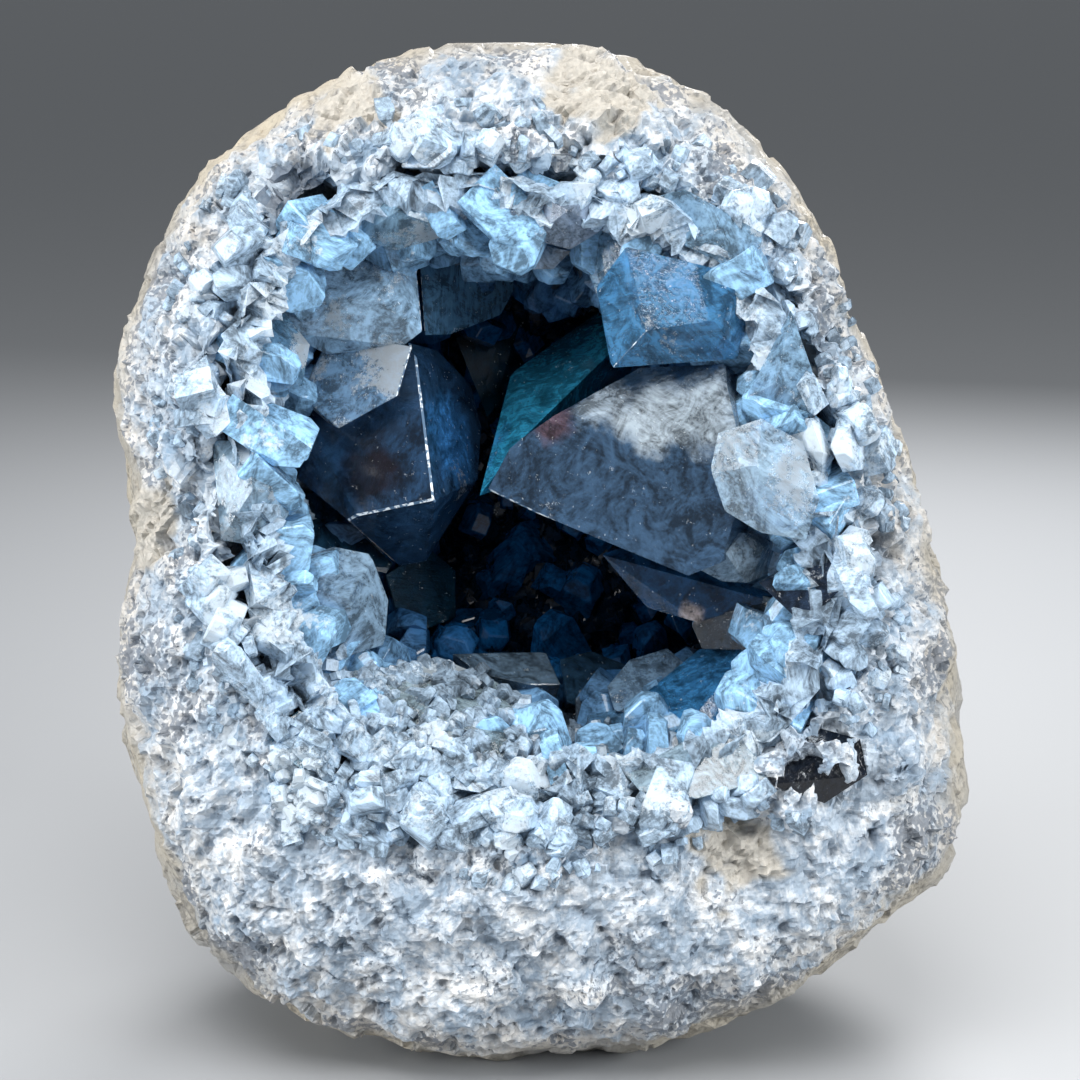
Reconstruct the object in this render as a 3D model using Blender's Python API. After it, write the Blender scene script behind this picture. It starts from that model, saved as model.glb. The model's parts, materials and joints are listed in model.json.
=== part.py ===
"""A celestite geode: an egg-shaped nodule, broken open at the front, with blue crystals in its hollow.

The stone is modelled upright, as seen from in front of its mouth: X runs across, Y runs into the stone
and Z runs up, in millimetres from the middle of the nodule. The finished pieces are then leaned back,
scaled to metres and set down on the small flat spot that the stone rests on.
"""

import math
import random

import bmesh
import bpy
import numpy as np
from mathutils import Matrix, Vector, noise

# Driving sizes, in millimetres and degrees.
MM = 0.001
LEAN_DEG = 12.0
REST_AT = (1.0, -6.75, 73.2)
GAP = 0.3
GOLDEN_ANGLE = math.radians(137.5)

NODULE_FRONT = 38.0
NODULE_BACK = 60.0
NODULE_SQUARENESS = 3.6
NODULE_FACES_KEPT = 0.45
BROKEN_FACE_FROM = -18.0
COBBLE = 7.5
COBBLE_HEIGHT = 4.5
HOLLOW_MIDDLE = (0.0, -6.0, 8.0)
HOLLOW_BACK = 40.0
HOLLOW_FRONT = 60.0
CRUST_WALL = 6.5
ROOT_DEPTH = 1.0
VOID_MIDDLE = (0.0, -34.0, 8.0)
VOID_BACK = 61.0
VOID_FRONT = 30.0

# The nodule's outline from the front, (across, up), where the surface turns.
OUTLINE = (
    (57, 0), (54, 14), (49, 28), (46, 38), (41, 49), (33, 59), (24, 66), (12, 72), (-6, 75), (-19, 73),
    (-30, 68), (-48, 57), (-56, 47), (-61, 35), (-65, 22), (-63, 11), (-62, 0), (-63, -11), (-62, -30),
    (-57, -48), (-51, -61), (-40, -69), (-27, -74), (0, -76), (26, -73), (39, -67), (51, -60), (59, -49),
    (63, -36), (61, -22), (59, -10),
)

# The mouth of the hollow, (across, up).
MOUTH = (
    (43, 0), (41, 15), (36, 31), (28, 43), (14, 50), (0, 52), (-16, 53), (-31, 50), (-41, 42), (-45, 31),
    (-46, 18), (-43, -3), (-41, -15), (-33, -28), (-16, -36), (5, -38), (22, -36), (35, -29), (43, -15),
)

# Places where the skin is dented: the middle of each dent, its radius and its depth.
DENTS = (
    ((50, -16, -63), 11, 3.5),
    ((-60, -22, 4), 18, 1.6),
    ((26, -39, -46), 8, 1.8),
    ((-8, 52, 34), 20, 3.0),
    ((-38, 40, -30), 22, 3.0),
    ((48, 30, 12), 18, 2.5),
    ((10, 10, 76), 16, 2.0),
)

# The crystals that stand out, each with its corners as seen from the mouth and the spot on the hollow's
# wall that it grows from. The order of a corner is across, into the stone, up.
CRYSTALS = {
    "left_block": (
        (-46, 24, 22), 0.85,
        (-19, -19, 29), (-15, -25, 6), (-15, -10, 28), (-10, -5, 23), (-9, -4, 17), (-10, -9, 8),
        (-17, -8, -3), (-21, -7, -4), (-28, -20, 3), (-35, -15, 9), (-36, -16, 22), (-31, -12, 29),
    ),
    "left_step": (
        (-46, 20, 30), 0.7,
        (-35, -20, 21), (-29, -24, 16), (-20, -25, 21), (-19, -23, 28), (-30, -19, 30),
    ),
    "upper_left_slab": (
        (-42, 16, 48), 0.8,
        (-41, -24, 35), (-40, -22, 40), (-31, -20, 44), (-18, -21, 40), (-17, -23, 30), (-20, -22, 28),
        (-31, -20, 27), (-37, -24, 30), (-24, -26, 35),
    ),
    "left_knob": (
        (-56, 4, 30), 0.9,
        (-46, -28, 28), (-44, -27, 32), (-37, -25, 33), (-33, -26, 28), (-34, -27, 22), (-40, -28, 21),
        (-44, -29, 23), (-39, -32, 28),
    ),
    "upper_back": (
        (-12, 30, 56), 0.9,
        (-18, -12, 43), (-13, -10, 47), (-6, -4, 45), (-3, -1, 40), (-6, -4, 34), (-13, -10, 31),
        (-17, -14, 30),
    ),
    "deep_teal": (
        (-6, 44, 40), 0.9,
        (-13, 2, 31), (-3, 6, 34), (0, 10, 38), (-2, 8, 27), (-8, 2, 19),
    ),
    "right_wedge": (
        (52, 10, 16), 0.9,
        (-8, -22, 7), (-5, -23, 13), (2, -23, 18), (15, -21, 25), (26, -29, 25), (29, -33, 10),
        (26, -31, -3), (21, -29, -5), (9, -25, 0),
    ),
    "teal_blade": (
        (34, 34, 34), 0.9,
        (-8, -20, 7), (-7, -12, 16), (-3, -4, 26), (9, 0, 35), (12, -8, 29), (-3, -18, 15),
    ),
    "upper_right_block": (
        (38, 8, 50), 0.8,
        (10, -30, 25), (9, -30, 32), (8, -28, 36), (12, -30, 41), (21, -33, 39), (28, -33, 37),
        (29, -32, 31), (28, -31, 26), (23, -31, 25), (15, -36, 29), (25, -36, 31),
    ),
    "upper_right_knob": (
        (16, 10, 58), 0.9,
        (6, -24, 41), (9, -27, 44), (14, -29, 43), (12, -28, 34), (9, -26, 33),
    ),
    "upper_right_shelf": (
        (34, 0, 62), 0.9,
        (10, -30, 47), (16, -33, 43), (25, -35, 40), (31, -36, 37), (31, -36, 43), (20, -36, 49),
    ),
    "lower_left_round": (
        (-48, 18, -18), 0.9,
        (-37, -24, -7), (-36, -22, -3), (-30, -21, -1), (-25, -19, -2), (-22, -18, -9), (-23, -20, -15),
        (-28, -24, -17), (-33, -26, -15), (-37, -26, -12), (-31, -28, -7), (-27, -27, -9),
    ),
    "striated_blade": (
        (-52, 14, 6), 1.0,
        (-41, -16, 7), (-35, -12, 7), (-22, -6, -3), (-23, -8, -5), (-40, -18, -1),
    ),
    "low_teal": (
        (-30, 34, -12), 0.9,
        (-23, -4, -5), (-17, 0, -1), (-13, 3, -5), (-13, 3, -12), (-21, -2, -15),
    ),
    "left_cluster": (
        (-58, -10, 8), 0.9,
        (-46, -33, 14), (-41, -34, 14), (-35, -32, 8), (-36, -31, 3), (-39, -33, -1), (-45, -33, 0),
        (-40, -37, 7),
    ),
    "floor_plate": (
        (-8, 14, -48), 0.9,
        (-13, -10, -17), (-6, -4, -17), (1, -4, -17), (3, -10, -22), (-2, -13, -21), (-9, -13, -20),
    ),
    "floor_dark": (
        (6, 24, -42), 0.9,
        (3, -4, -18), (8, -1, -17), (13, -2, -19), (9, -8, -26), (4, -8, -24),
    ),
    "floor_round": (
        (22, 8, -44), 0.9,
        (10, -14, -22), (13, -11, -18), (19, -11, -16), (22, -12, -19), (21, -16, -24), (15, -18, -25),
        (11, -17, -25),
    ),
    "floor_blue": (
        (36, 2, -40), 0.9,
        (15, -20, -28), (16, -17, -22), (24, -12, -16), (32, -16, -15), (31, -20, -22), (26, -23, -27),
        (20, -24, -28),
    ),
    "floor_small": (
        (12, -4, -48), 0.9,
        (7, -16, -26), (15, -16, -24), (15, -24, -31), (9, -24, -32),
    ),
    "floor_shelf": (
        (-14, 0, -58), 1.0,
        (-31, -29, -25), (-28, -24, -19), (-14, -14, -18), (-8, -15, -20), (5, -27, -30), (8, -32, -34),
        (-14, -35, -34), (-26, -35, -31), (-18, -28, -24),
    ),
    "low_left_floor": (
        (-46, 2, -36), 0.9,
        (-41, -27, -16), (-36, -24, -15), (-33, -26, -22), (-35, -30, -25), (-39, -31, -21),
    ),
    "rim_left_facet": (
        (-44, -10, -44), 0.9,
        (-39, -34, -28), (-34, -33, -24), (-29, -33, -25), (-33, -37, -32),
    ),
    "rim_bottom_cluster": (
        (26, -6, -56), 0.9,
        (12, -33, -33), (21, -32, -28), (28, -34, -28), (33, -36, -33), (22, -38, -36), (14, -37, -35),
    ),
    "right_low_wedge": (
        (48, 8, -8), 0.9,
        (9, -14, -2), (13, -12, -1), (24, -14, -3), (33, -20, -9), (23, -18, -12), (16, -15, -10),
    ),
    "right_low_hexagon": (
        (50, -4, 0), 0.9,
        (21, -26, -3), (23, -27, 1), (29, -28, 1), (32, -28, -1), (30, -27, -6), (26, -26, -6),
        (26, -31, -2),
    ),
    "right_low_dark": (
        (50, 2, -22), 0.9,
        (22, -16, -12), (33, -22, -9), (34, -22, -16), (24, -16, -16),
    ),
    "right_flake": (
        (56, -12, -8), 0.9,
        (31, -30, -6), (41, -35, -3), (42, -35, -7), (37, -33, -12),
    ),
    "right_cluster": (
        (56, -8, 12), 0.9,
        (24, -34, 10), (25, -34, 15), (31, -35, 17), (36, -36, 14), (39, -37, 6), (37, -37, 0),
        (31, -36, 1), (26, -34, 4), (30, -39, 10),
    ),
    "right_upper_cluster": (
        (54, -4, 30), 0.9,
        (29, -33, 20), (33, -35, 26), (35, -35, 32), (38, -36, 24), (38, -36, 17), (33, -37, 22),
    ),
    "top_knob_left": (
        (-6, -4, 64), 0.8,
        (-8, -28, 48), (-4, -30, 51), (0, -31, 50), (1, -30, 44), (-3, -28, 40), (-7, -27, 43),
        (-4, -34, 46),
    ),
    "top_knob_right": (
        (6, -6, 64), 0.8,
        (-1, -32, 49), (8, -32, 49), (9, -31, 44), (4, -30, 41), (-1, -31, 43), (4, -36, 46),
    ),
    "top_knob_low": (
        (0, 4, 62), 0.9,
        (-6, -24, 44), (4, -26, 41), (2, -25, 39), (-3, -23, 39), (-6, -22, 41),
    ),
    "top_left_cluster": (
        (-24, -6, 62), 0.9,
        (-27, -31, 48), (-16, -32, 50), (-13, -30, 44), (-20, -28, 41), (-26, -29, 43), (-20, -35, 46),
    ),
    "top_prism": (
        (-13, -18, 62), 0.8,
        (-12, -30, 51), (-10, -31, 51), (-8, -28, 45), (-10, -28, 44), (-12, -29, 47),
    ),
}

# The small crystals between them: on the hollow's wall, round its lip, and on the broken face outside it.
WALL_CRYSTALS = 30
WALL_CRYSTAL_SIZES = (4.0, 8.0)
LIP_CRYSTALS = 44
LIP_CRYSTAL_SIZES = (4.5, 9.0)
RIM_GRAINS = 44
RIM_GRAIN_SIZES = (4.0, 8.0)
SEED = 11


def clear_scene():
    for old in list(bpy.data.objects):
        bpy.data.objects.remove(old, do_unlink=True)


def new_object(name, bm, collection):
    mesh = bpy.data.meshes.new(name)
    bm.to_mesh(mesh)
    bm.free()
    made = bpy.data.objects.new(name, mesh)
    collection.objects.link(made)
    return made


def ring_radius(points, middle):
    """A function of the angle, in radians, that gives the radius of a closed outline about its middle."""
    offsets = [(across - middle[0], up - middle[2]) for across, up in points]
    ring = sorted((math.atan2(up, across), math.hypot(across, up)) for across, up in offsets)
    angles = np.array([angle for angle, _ in ring])
    radii = np.array([radius for _, radius in ring])
    return lambda angle: float(np.interp(angle, angles, radii, period=2 * math.pi))


def ball(bm, around, along):
    """Adds a ball of radius 1 with its poles in front and behind, and returns its points."""
    made = bmesh.ops.create_uvsphere(bm, u_segments=around, v_segments=along, radius=1.0)
    bmesh.ops.rotate(bm, verts=made["verts"], matrix=Matrix.Rotation(math.pi / 2, 3, "X"))
    return made["verts"]


def shape_egg(verts, middle, radius_at, front, back, front_power, back_power, grow=0.0):
    """Turns a ball of radius 1 into a closed rounded body with the outline radius_at(angle). A low power
    rounds an end and a high power squares it. grow moves the whole surface out."""
    for vert in verts:
        across, depth, up = vert.co
        power = front_power if depth < 0 else back_power
        reach = (front if depth < 0 else back) + grow
        radius = radius_at(math.atan2(up, across)) + grow
        out = (math.hypot(across, up) / radius) ** power + (abs(depth) / reach) ** power
        vert.co = Vector(middle) + vert.co / out ** (1.0 / power)


def lumps(point, size, height):
    """Height of the stone's lumps and hollows at a point, for lumps of that size."""
    return noise.noise(point / size) * height


def add_shape(bm, one):
    """Adds a finished small shape to the mesh that holds them all."""
    mesh = bpy.data.meshes.new("shape")
    one.to_mesh(mesh)
    one.free()
    bm.from_mesh(mesh)
    bpy.data.meshes.remove(mesh)


def block_crystal(bm, size, at, direction, spin, rng):
    """Adds one blocky crystal: a rhombic prism with two slopes that meet in a ridge at its tip."""
    one = bmesh.new()
    bmesh.ops.create_cube(one, size=1.0)
    stretch = Vector((rng.uniform(0.7, 1.1), rng.uniform(0.5, 0.8), rng.uniform(1.3, 1.8))) * size
    bmesh.ops.scale(one, vec=stretch, verts=one.verts)
    slopes = (
        (0.8, 0.0, 0.6), (-0.8, 0.0, 0.6), (0.0, 0.85, 0.53), (0.5, -0.75, 0.4),
    )
    for slope in slopes:
        normal = Vector(slope).normalized()
        reach = sum(abs(n * s) for n, s in zip(normal, stretch / 2)) * rng.uniform(0.62, 0.8)
        geom = one.verts[:] + one.edges[:] + one.faces[:]
        at_plane = normal * reach
        bmesh.ops.bisect_plane(one, geom=geom, plane_co=at_plane, plane_no=normal, clear_outer=True)
        bmesh.ops.holes_fill(one, edges=[edge for edge in one.edges if edge.is_boundary])
    turn = Vector(direction).to_track_quat("Z", "Y").to_matrix() @ Matrix.Rotation(spin, 3, "Z")
    bmesh.ops.transform(one, matrix=Matrix.Translation(at) @ turn.to_4x4(), verts=one.verts)
    add_shape(bm, one)


def corner_crystal(bm, root, taper, corners):
    """Adds one crystal with flat faces between the corners given, drawn back to its root on the wall."""
    centre = sum((Vector(c) for c in corners), Vector()) / len(corners)
    tip = [bm.verts.new(c) for c in corners]
    base = [bm.verts.new(Vector(root) + (Vector(c) - centre) * taper) for c in corners]
    hull = bmesh.ops.convex_hull(bm, input=tip + base)
    loose = [v for v in hull["geom_interior"] + hull["geom_unused"] if isinstance(v, bmesh.types.BMVert)]
    bmesh.ops.delete(bm, geom=list(set(loose)), context="VERTS")


def nodule_relief(verts):
    """Gives the nodule its broad lumps and dents, and the cobbled break across its front."""
    for vert in verts:
        at = vert.co.copy()
        out = Vector((at.x, at.y * 1.2, at.z)).normalized()
        height = lumps(at, 24.0, 2.2) + lumps(at + Vector((40, 0, 0)), 9.0, 1.3)
        if at.y < BROKEN_FACE_FROM:
            nearest, _ = noise.voronoi(at / COBBLE)
            height += COBBLE_HEIGHT * (0.4 - nearest[0])
        for middle, radius, depth in DENTS:
            height -= depth * math.exp(-((at - Vector(middle)).length / radius) ** 2)
        vert.co += out * height


def build_nodule(name, collection):
    bm = bmesh.new()
    verts = bmesh.ops.create_icosphere(bm, subdivisions=5, radius=1.0)["verts"]
    shape_egg(
        verts, (0, 0, 0), ring_radius(OUTLINE, (0, 0, 0)), NODULE_FRONT, NODULE_BACK, NODULE_SQUARENESS, 2.3,
    )
    nodule_relief(verts)
    nodule = new_object(name, bm, collection)
    fewer = nodule.modifiers.new("fewer_faces", "DECIMATE")
    fewer.ratio = NODULE_FACES_KEPT
    return nodule


def build_hollow(name, collection, grow):
    bm = bmesh.new()
    shape_egg(
        ball(bm, 34, 10), HOLLOW_MIDDLE, ring_radius(MOUTH, HOLLOW_MIDDLE),
        HOLLOW_FRONT, HOLLOW_BACK, 9.0, 2.6, grow,
    )
    return new_object(name, bm, collection)


def build_void(collection):
    bm = bmesh.new()
    verts = ball(bm, 24, 10)
    shape_egg(
        verts, VOID_MIDDLE, ring_radius(MOUTH, VOID_MIDDLE), VOID_FRONT, VOID_BACK, 9.0, 2.0, -CRUST_WALL,
    )
    for vert in verts:
        out = (vert.co - Vector(VOID_MIDDLE)).normalized()
        vert.co += out * lumps(vert.co, 11.0, 3.0)
    return new_object("void_cutter", bm, collection)


def build_wall_crystals(bm, rng):
    """Small crystals at even angles and depths on the hollow's wall, pointing into the hollow."""
    radius_at = ring_radius(MOUTH, VOID_MIDDLE)
    for index in range(WALL_CRYSTALS):
        angle = index * GOLDEN_ANGLE
        share = (index + 0.5) / WALL_CRYSTALS
        depth = VOID_BACK * (0.08 + 0.84 * share)
        narrowing = math.sqrt(max(0.0, 1.0 - (depth / VOID_BACK) ** 2))
        radius = (radius_at(math.remainder(angle, 2 * math.pi)) - CRUST_WALL + 1.0) * narrowing
        wall = Vector((math.cos(angle) * radius, depth, math.sin(angle) * radius)) + Vector(VOID_MIDDLE)
        inward = (Vector(VOID_MIDDLE) + Vector((0, 10, 0)) - wall).normalized()
        lean = Vector((rng.uniform(-1, 1), rng.uniform(-1, 1), rng.uniform(-1, 1))) * 0.45
        size = rng.uniform(*WALL_CRYSTAL_SIZES)
        block_crystal(bm, size, wall, inward + lean, rng.uniform(0, math.pi), rng)


def build_lip_crystals(bm, rng):
    """Small crystals round the lip of the hollow, leaning in over its edge."""
    radius_at = ring_radius(MOUTH, VOID_MIDDLE)
    for index in range(LIP_CRYSTALS):
        angle = index * GOLDEN_ANGLE
        radius = radius_at(math.remainder(angle, 2 * math.pi)) - CRUST_WALL * rng.uniform(0.25, 1.1)
        across, up = math.cos(angle), math.sin(angle)
        at = Vector((across * radius, rng.uniform(0.0, 4.0), up * radius)) + Vector(VOID_MIDDLE)
        inward = rng.uniform(0.1, 1.1)
        lean = Vector((-across * inward, -1.0, -up * inward))
        lean += Vector((rng.uniform(-0.5, 0.5), 0.0, rng.uniform(-0.5, 0.5)))
        size = rng.uniform(*LIP_CRYSTAL_SIZES)
        block_crystal(bm, size, at, lean, rng.uniform(0, math.pi), rng)


def build_crystals(collection):
    bm = bmesh.new()
    for root, taper, *corners in CRYSTALS.values():
        corner_crystal(bm, root, taper, corners)
    build_wall_crystals(bm, random.Random(SEED))
    build_lip_crystals(bm, random.Random(SEED + 1))
    bmesh.ops.recalc_face_normals(bm, faces=bm.faces[:])
    return new_object("crystal_tool", bm, collection)


def build_rim_grains(collection):
    """Blocky grains that stand out of the broken face, closest together near the mouth."""
    rng = random.Random(SEED + 2)
    mouth = ring_radius(MOUTH, (0, 0, 0))
    edge = ring_radius(OUTLINE, (0, 0, 0))
    bm = bmesh.new()
    for index in range(RIM_GRAINS):
        angle = index * GOLDEN_ANGLE
        turned = math.remainder(angle, 2 * math.pi)
        inner, outer = mouth(turned) + 1.0, edge(turned) * 0.84
        radius = inner + (outer - inner) * rng.uniform(0.0, 1.0) ** 1.5
        share = (radius / edge(turned)) ** NODULE_SQUARENESS
        depth = -NODULE_FRONT * (1.0 - share) ** (1 / NODULE_SQUARENESS)
        at = Vector((math.cos(angle) * radius, depth + 2.4, math.sin(angle) * radius))
        lean = Vector((rng.uniform(-0.7, 0.7), -1.0, rng.uniform(-0.7, 0.7)))
        size = rng.uniform(*RIM_GRAIN_SIZES)
        block_crystal(bm, size, at, lean, rng.uniform(0, math.pi), rng)
    bmesh.ops.recalc_face_normals(bm, faces=bm.faces[:])
    return new_object("rim_grain_tool", bm, collection)


def boolean(target, operation, tool, overlapping=False):
    step = target.modifiers.new(operation.lower(), "BOOLEAN")
    step.operation = operation
    step.object = tool
    step.solver = "EXACT"
    step.use_self = overlapping
    return step


def islands(bm):
    """The separate closed surfaces of a mesh, each as a list of its faces."""
    seen = set()
    for start in bm.faces:
        if start in seen:
            continue
        seen.add(start)
        found = [start]
        for face in found:
            near = [f for e in face.edges for f in e.link_faces if f not in seen]
            seen.update(near)
            found.extend(dict.fromkeys(near))
        yield found


def surface_volume(faces):
    """The volume inside a closed surface, in cubic units of its mesh."""
    return sum(f.calc_center_median().dot(f.normal) * f.calc_area() for f in faces) / 3.0


def keep_main_body(made):
    """Replaces an object's modifiers by their result, without the sealed pockets between its crystals."""
    graph = bpy.context.evaluated_depsgraph_get()
    mesh = bpy.data.meshes.new_from_object(made.evaluated_get(graph))
    made.modifiers.clear()
    bm = bmesh.new()
    bm.from_mesh(mesh)
    bmesh.ops.triangulate(bm, faces=bm.faces[:])
    bodies = sorted(islands(bm), key=surface_volume)
    loose = [face for body in bodies[:-1] for face in body]
    bmesh.ops.delete(bm, geom=loose, context="FACES")
    bm.to_mesh(made.data)
    bm.free()
    print(made.name, "keeps one body of", len(bodies), "with", len(made.data.polygons), "faces")


def flat_box(name, collection, low, high):
    bm = bmesh.new()
    bmesh.ops.create_cube(bm, size=1.0)
    low, high = Vector(low), Vector(high)
    for vert in bm.verts:
        vert.co = Vector([(0.5 + c) * (h - l) + l for c, h, l in zip(vert.co, high, low)])
    return new_object(name, bm, collection)


def finish_material(name, colour, roughness):
    material = bpy.data.materials.new(name)
    material.use_nodes = True
    shader = material.node_tree.nodes["Principled BSDF"]
    shader.inputs["Base Color"].default_value = (*colour, 1.0)
    shader.inputs["Roughness"].default_value = roughness
    shader.inputs["Metallic"].default_value = 0.0
    return material


def resting_place():
    """From the upright stone, in millimetres, to the stone leaned back on the ground, in metres."""
    lean = Matrix.Rotation(math.radians(-LEAN_DEG), 4, "X")
    return Matrix.Scale(MM, 4) @ Matrix.Translation(REST_AT) @ lean


def main():
    clear_scene()
    geode = bpy.data.collections.new("celestite_geode")
    tools = bpy.data.collections.new("cutters")
    for collection in (geode, tools):
        bpy.context.scene.collection.children.link(collection)

    rind = build_nodule("rind", geode)
    hollow = build_hollow("hollow_cutter", tools, grow=0.0)
    boolean(rind, "UNION", build_rim_grains(tools), overlapping=True)
    boolean(rind, "DIFFERENCE", hollow)

    crystals = build_crystals(tools)
    crystal_limit = build_hollow("crystal_limit", tools, grow=-GAP - ROOT_DEPTH)
    boolean(crystals, "INTERSECT", crystal_limit, overlapping=True)

    crust = build_hollow("crystal_crust", geode, grow=-GAP)
    boolean(crust, "DIFFERENCE", build_void(tools))
    boolean(crust, "INTERSECT", build_nodule("face_limit", tools))
    boolean(crust, "UNION", crystals, overlapping=True)

    ground = flat_box("ground_cutter", tools, (-0.2, -0.2, -0.2), (0.2, 0.2, 0.0))
    ground.matrix_world = resting_place().inverted()
    boolean(rind, "DIFFERENCE", ground)
    for made in (rind, crust):
        keep_main_body(made)
        made.matrix_world = resting_place()

    rind.data.materials.append(finish_material("weathered_celestite", (0.62, 0.66, 0.70), 0.8))
    crust.data.materials.append(finish_material("celestite_crystal", (0.25, 0.42, 0.58), 0.2))
    for tool in tools.objects:
        tool.hide_render = True
        tool.display_type = "WIRE"


main()
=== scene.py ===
# %% [markdown]
# # A celestite geode
# This script dresses a nodule of celestite about 148 mm high. A rough white and grey rind holds a hollow,
# and blue crystals of the same mineral line it. The plain solids of both come with the frame and say where
# everything is. The script puts a finer mesh with its own finish over each of them.
#
# The first cell loads the frame. Its box is kept, because the dressed stone has to stay inside it.

# %% Load the frame
import json
import math
import random

import bmesh
import bpy
from mathutils import Matrix, Vector, noise
from mathutils.bvhtree import BVHTree

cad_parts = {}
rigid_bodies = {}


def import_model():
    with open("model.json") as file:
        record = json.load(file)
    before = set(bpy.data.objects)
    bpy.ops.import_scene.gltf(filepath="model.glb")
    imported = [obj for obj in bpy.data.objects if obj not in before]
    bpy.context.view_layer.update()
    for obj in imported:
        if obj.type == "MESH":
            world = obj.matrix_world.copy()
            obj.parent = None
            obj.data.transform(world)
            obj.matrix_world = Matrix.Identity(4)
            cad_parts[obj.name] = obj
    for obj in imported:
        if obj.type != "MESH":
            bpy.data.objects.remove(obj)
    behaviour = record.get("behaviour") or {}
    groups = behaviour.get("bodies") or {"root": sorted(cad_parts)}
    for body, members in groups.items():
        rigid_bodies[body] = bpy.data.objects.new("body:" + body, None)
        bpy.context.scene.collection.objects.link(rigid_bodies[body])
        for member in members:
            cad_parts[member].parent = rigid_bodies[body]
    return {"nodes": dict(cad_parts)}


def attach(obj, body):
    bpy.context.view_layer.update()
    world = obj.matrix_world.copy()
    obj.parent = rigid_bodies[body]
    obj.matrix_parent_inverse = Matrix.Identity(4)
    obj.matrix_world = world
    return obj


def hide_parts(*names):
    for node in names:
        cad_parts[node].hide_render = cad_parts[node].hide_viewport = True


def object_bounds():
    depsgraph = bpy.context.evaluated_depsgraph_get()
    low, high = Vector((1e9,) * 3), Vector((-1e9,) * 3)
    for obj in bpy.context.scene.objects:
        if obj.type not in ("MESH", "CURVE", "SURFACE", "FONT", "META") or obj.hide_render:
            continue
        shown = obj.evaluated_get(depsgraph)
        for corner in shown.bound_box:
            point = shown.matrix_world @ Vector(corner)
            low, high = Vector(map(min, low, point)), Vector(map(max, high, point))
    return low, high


for startup in list(bpy.data.objects):
    bpy.data.objects.remove(startup)
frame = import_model()
cad_low, cad_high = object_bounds()
print("the solids' box, in mm:", [round(1000 * side) for side in cad_high - cad_low])

# %% [markdown]
# ## The stone's own frame
# The stone rests leaned back by 12 degrees, with its mouth turned up towards the viewer. It is easier to
# shape while it stands upright, so each piece is modelled upright, in millimetres from the middle of the
# nodule, with X across, Y into the stone and Z up. One matrix then sets the finished mesh down on the
# ground.

# %% The upright frame and its matrix
MM = 0.001
LEAN = math.radians(-12.0)
REST_AT = Vector((1.0, -6.75, 73.2))
AT_REST = Matrix.Scale(MM, 4) @ Matrix.Translation(REST_AT) @ Matrix.Rotation(LEAN, 4, "X")
UPRIGHT = AT_REST.inverted()
SEED = 11
GOLDEN_ANGLE = math.radians(137.5)
print("middle of the nodule, in mm:", [round(1000 * c, 1) for c in AT_REST.translation])

# %% [markdown]
# ## Camera
# The picture looks straight into the mouth from a little above, as a buyer holds such a stone. A camera
# object could be aimed by a constraint. Here the stone's own lean gives its angle, so the two always agree.

# %% Camera
FRAME_WIDTH = 165.2
CAMERA_DISTANCE = 412.0
SENSOR = 36.0

camera_data = bpy.data.cameras.new("camera")
camera_data.sensor_width = SENSOR
camera_data.lens = SENSOR * CAMERA_DISTANCE / FRAME_WIDTH
camera = bpy.data.objects.new("camera", camera_data)
camera.location = AT_REST @ Vector((0.0, -CAMERA_DISTANCE, 0.0))
camera.rotation_euler = (math.radians(90.0) + LEAN, 0.0, 0.0)
bpy.context.scene.collection.objects.link(camera)
bpy.context.scene.camera = camera
print("lens, in mm:", round(camera_data.lens, 1))

# %% [markdown]
# ## Light
# One wide soft light stands high at the front, as a studio's main light does, with a weaker one at each
# side and behind, so that the flat faces flash while the bottom of the hollow stays dark. Area lights are
# used, because their size alone sets how soft the shadows are. A flat view transform keeps the whites of
# the rim.

# %% Lights
def soft_light(name, at, size, watts, tint):
    """Adds a square soft light, aimed at the middle of the stone. at and size are upright millimetres."""
    data = bpy.data.lights.new(name, "AREA")
    data.size = size * MM
    data.energy = watts
    data.color = tint
    light = bpy.data.objects.new(name, data)
    light.location = AT_REST @ Vector(at)
    aim = AT_REST.translation - light.location
    light.rotation_euler = aim.to_track_quat("-Z", "Y").to_euler()
    bpy.context.scene.collection.objects.link(light)


soft_light("main_light", (-70, -390, 440), 400, 4.7, (1.0, 0.98, 0.96))
soft_light("right_light", (430, -270, 60), 220, 2.2, (0.95, 0.98, 1.0))
soft_light("left_light", (-450, -220, 30), 220, 2.0, (0.95, 0.98, 1.0))
soft_light("back_light", (120, 380, 360), 240, 2.5, (1.0, 1.0, 1.0))
world = bpy.data.worlds.new("studio")
world.use_nodes = True
world.node_tree.nodes["Background"].inputs["Color"].default_value = (0.80, 0.84, 0.88, 1.0)
world.node_tree.nodes["Background"].inputs["Strength"].default_value = 0.3
bpy.context.scene.world = world
bpy.context.scene.view_settings.view_transform = "Standard"


# %% [markdown]
# ## Helpers for finishes
# Each material starts from a Principled shader. Colours are written as sRGB hex values, as a colour picker
# shows them, and one function turns them linear. Patterns read the stone's own upright millimetres, so a
# scale of 1 / 5 gives grains of about 5 mm.

# %% Colour, nodes and places of patterns
def srgb(code):
    """The linear colour of an sRGB hex value."""
    parts = [int(code[i:i + 2], 16) / 255 for i in (1, 3, 5)]
    linear = [p / 12.92 if p <= 0.04045 else ((p + 0.055) / 1.055) ** 2.4 for p in parts]
    return (*linear, 1.0)


def add(material, kind, inputs, **settings):
    """Adds a node. A socket among the inputs is linked, and any other value is set."""
    node = material.node_tree.nodes.new(kind)
    for name, value in settings.items():
        setattr(node, name, value)
    for key, value in inputs.items():
        if isinstance(value, bpy.types.NodeSocket):
            material.node_tree.links.new(value, node.inputs[key])
        else:
            node.inputs[key].default_value = value
    return node


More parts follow.
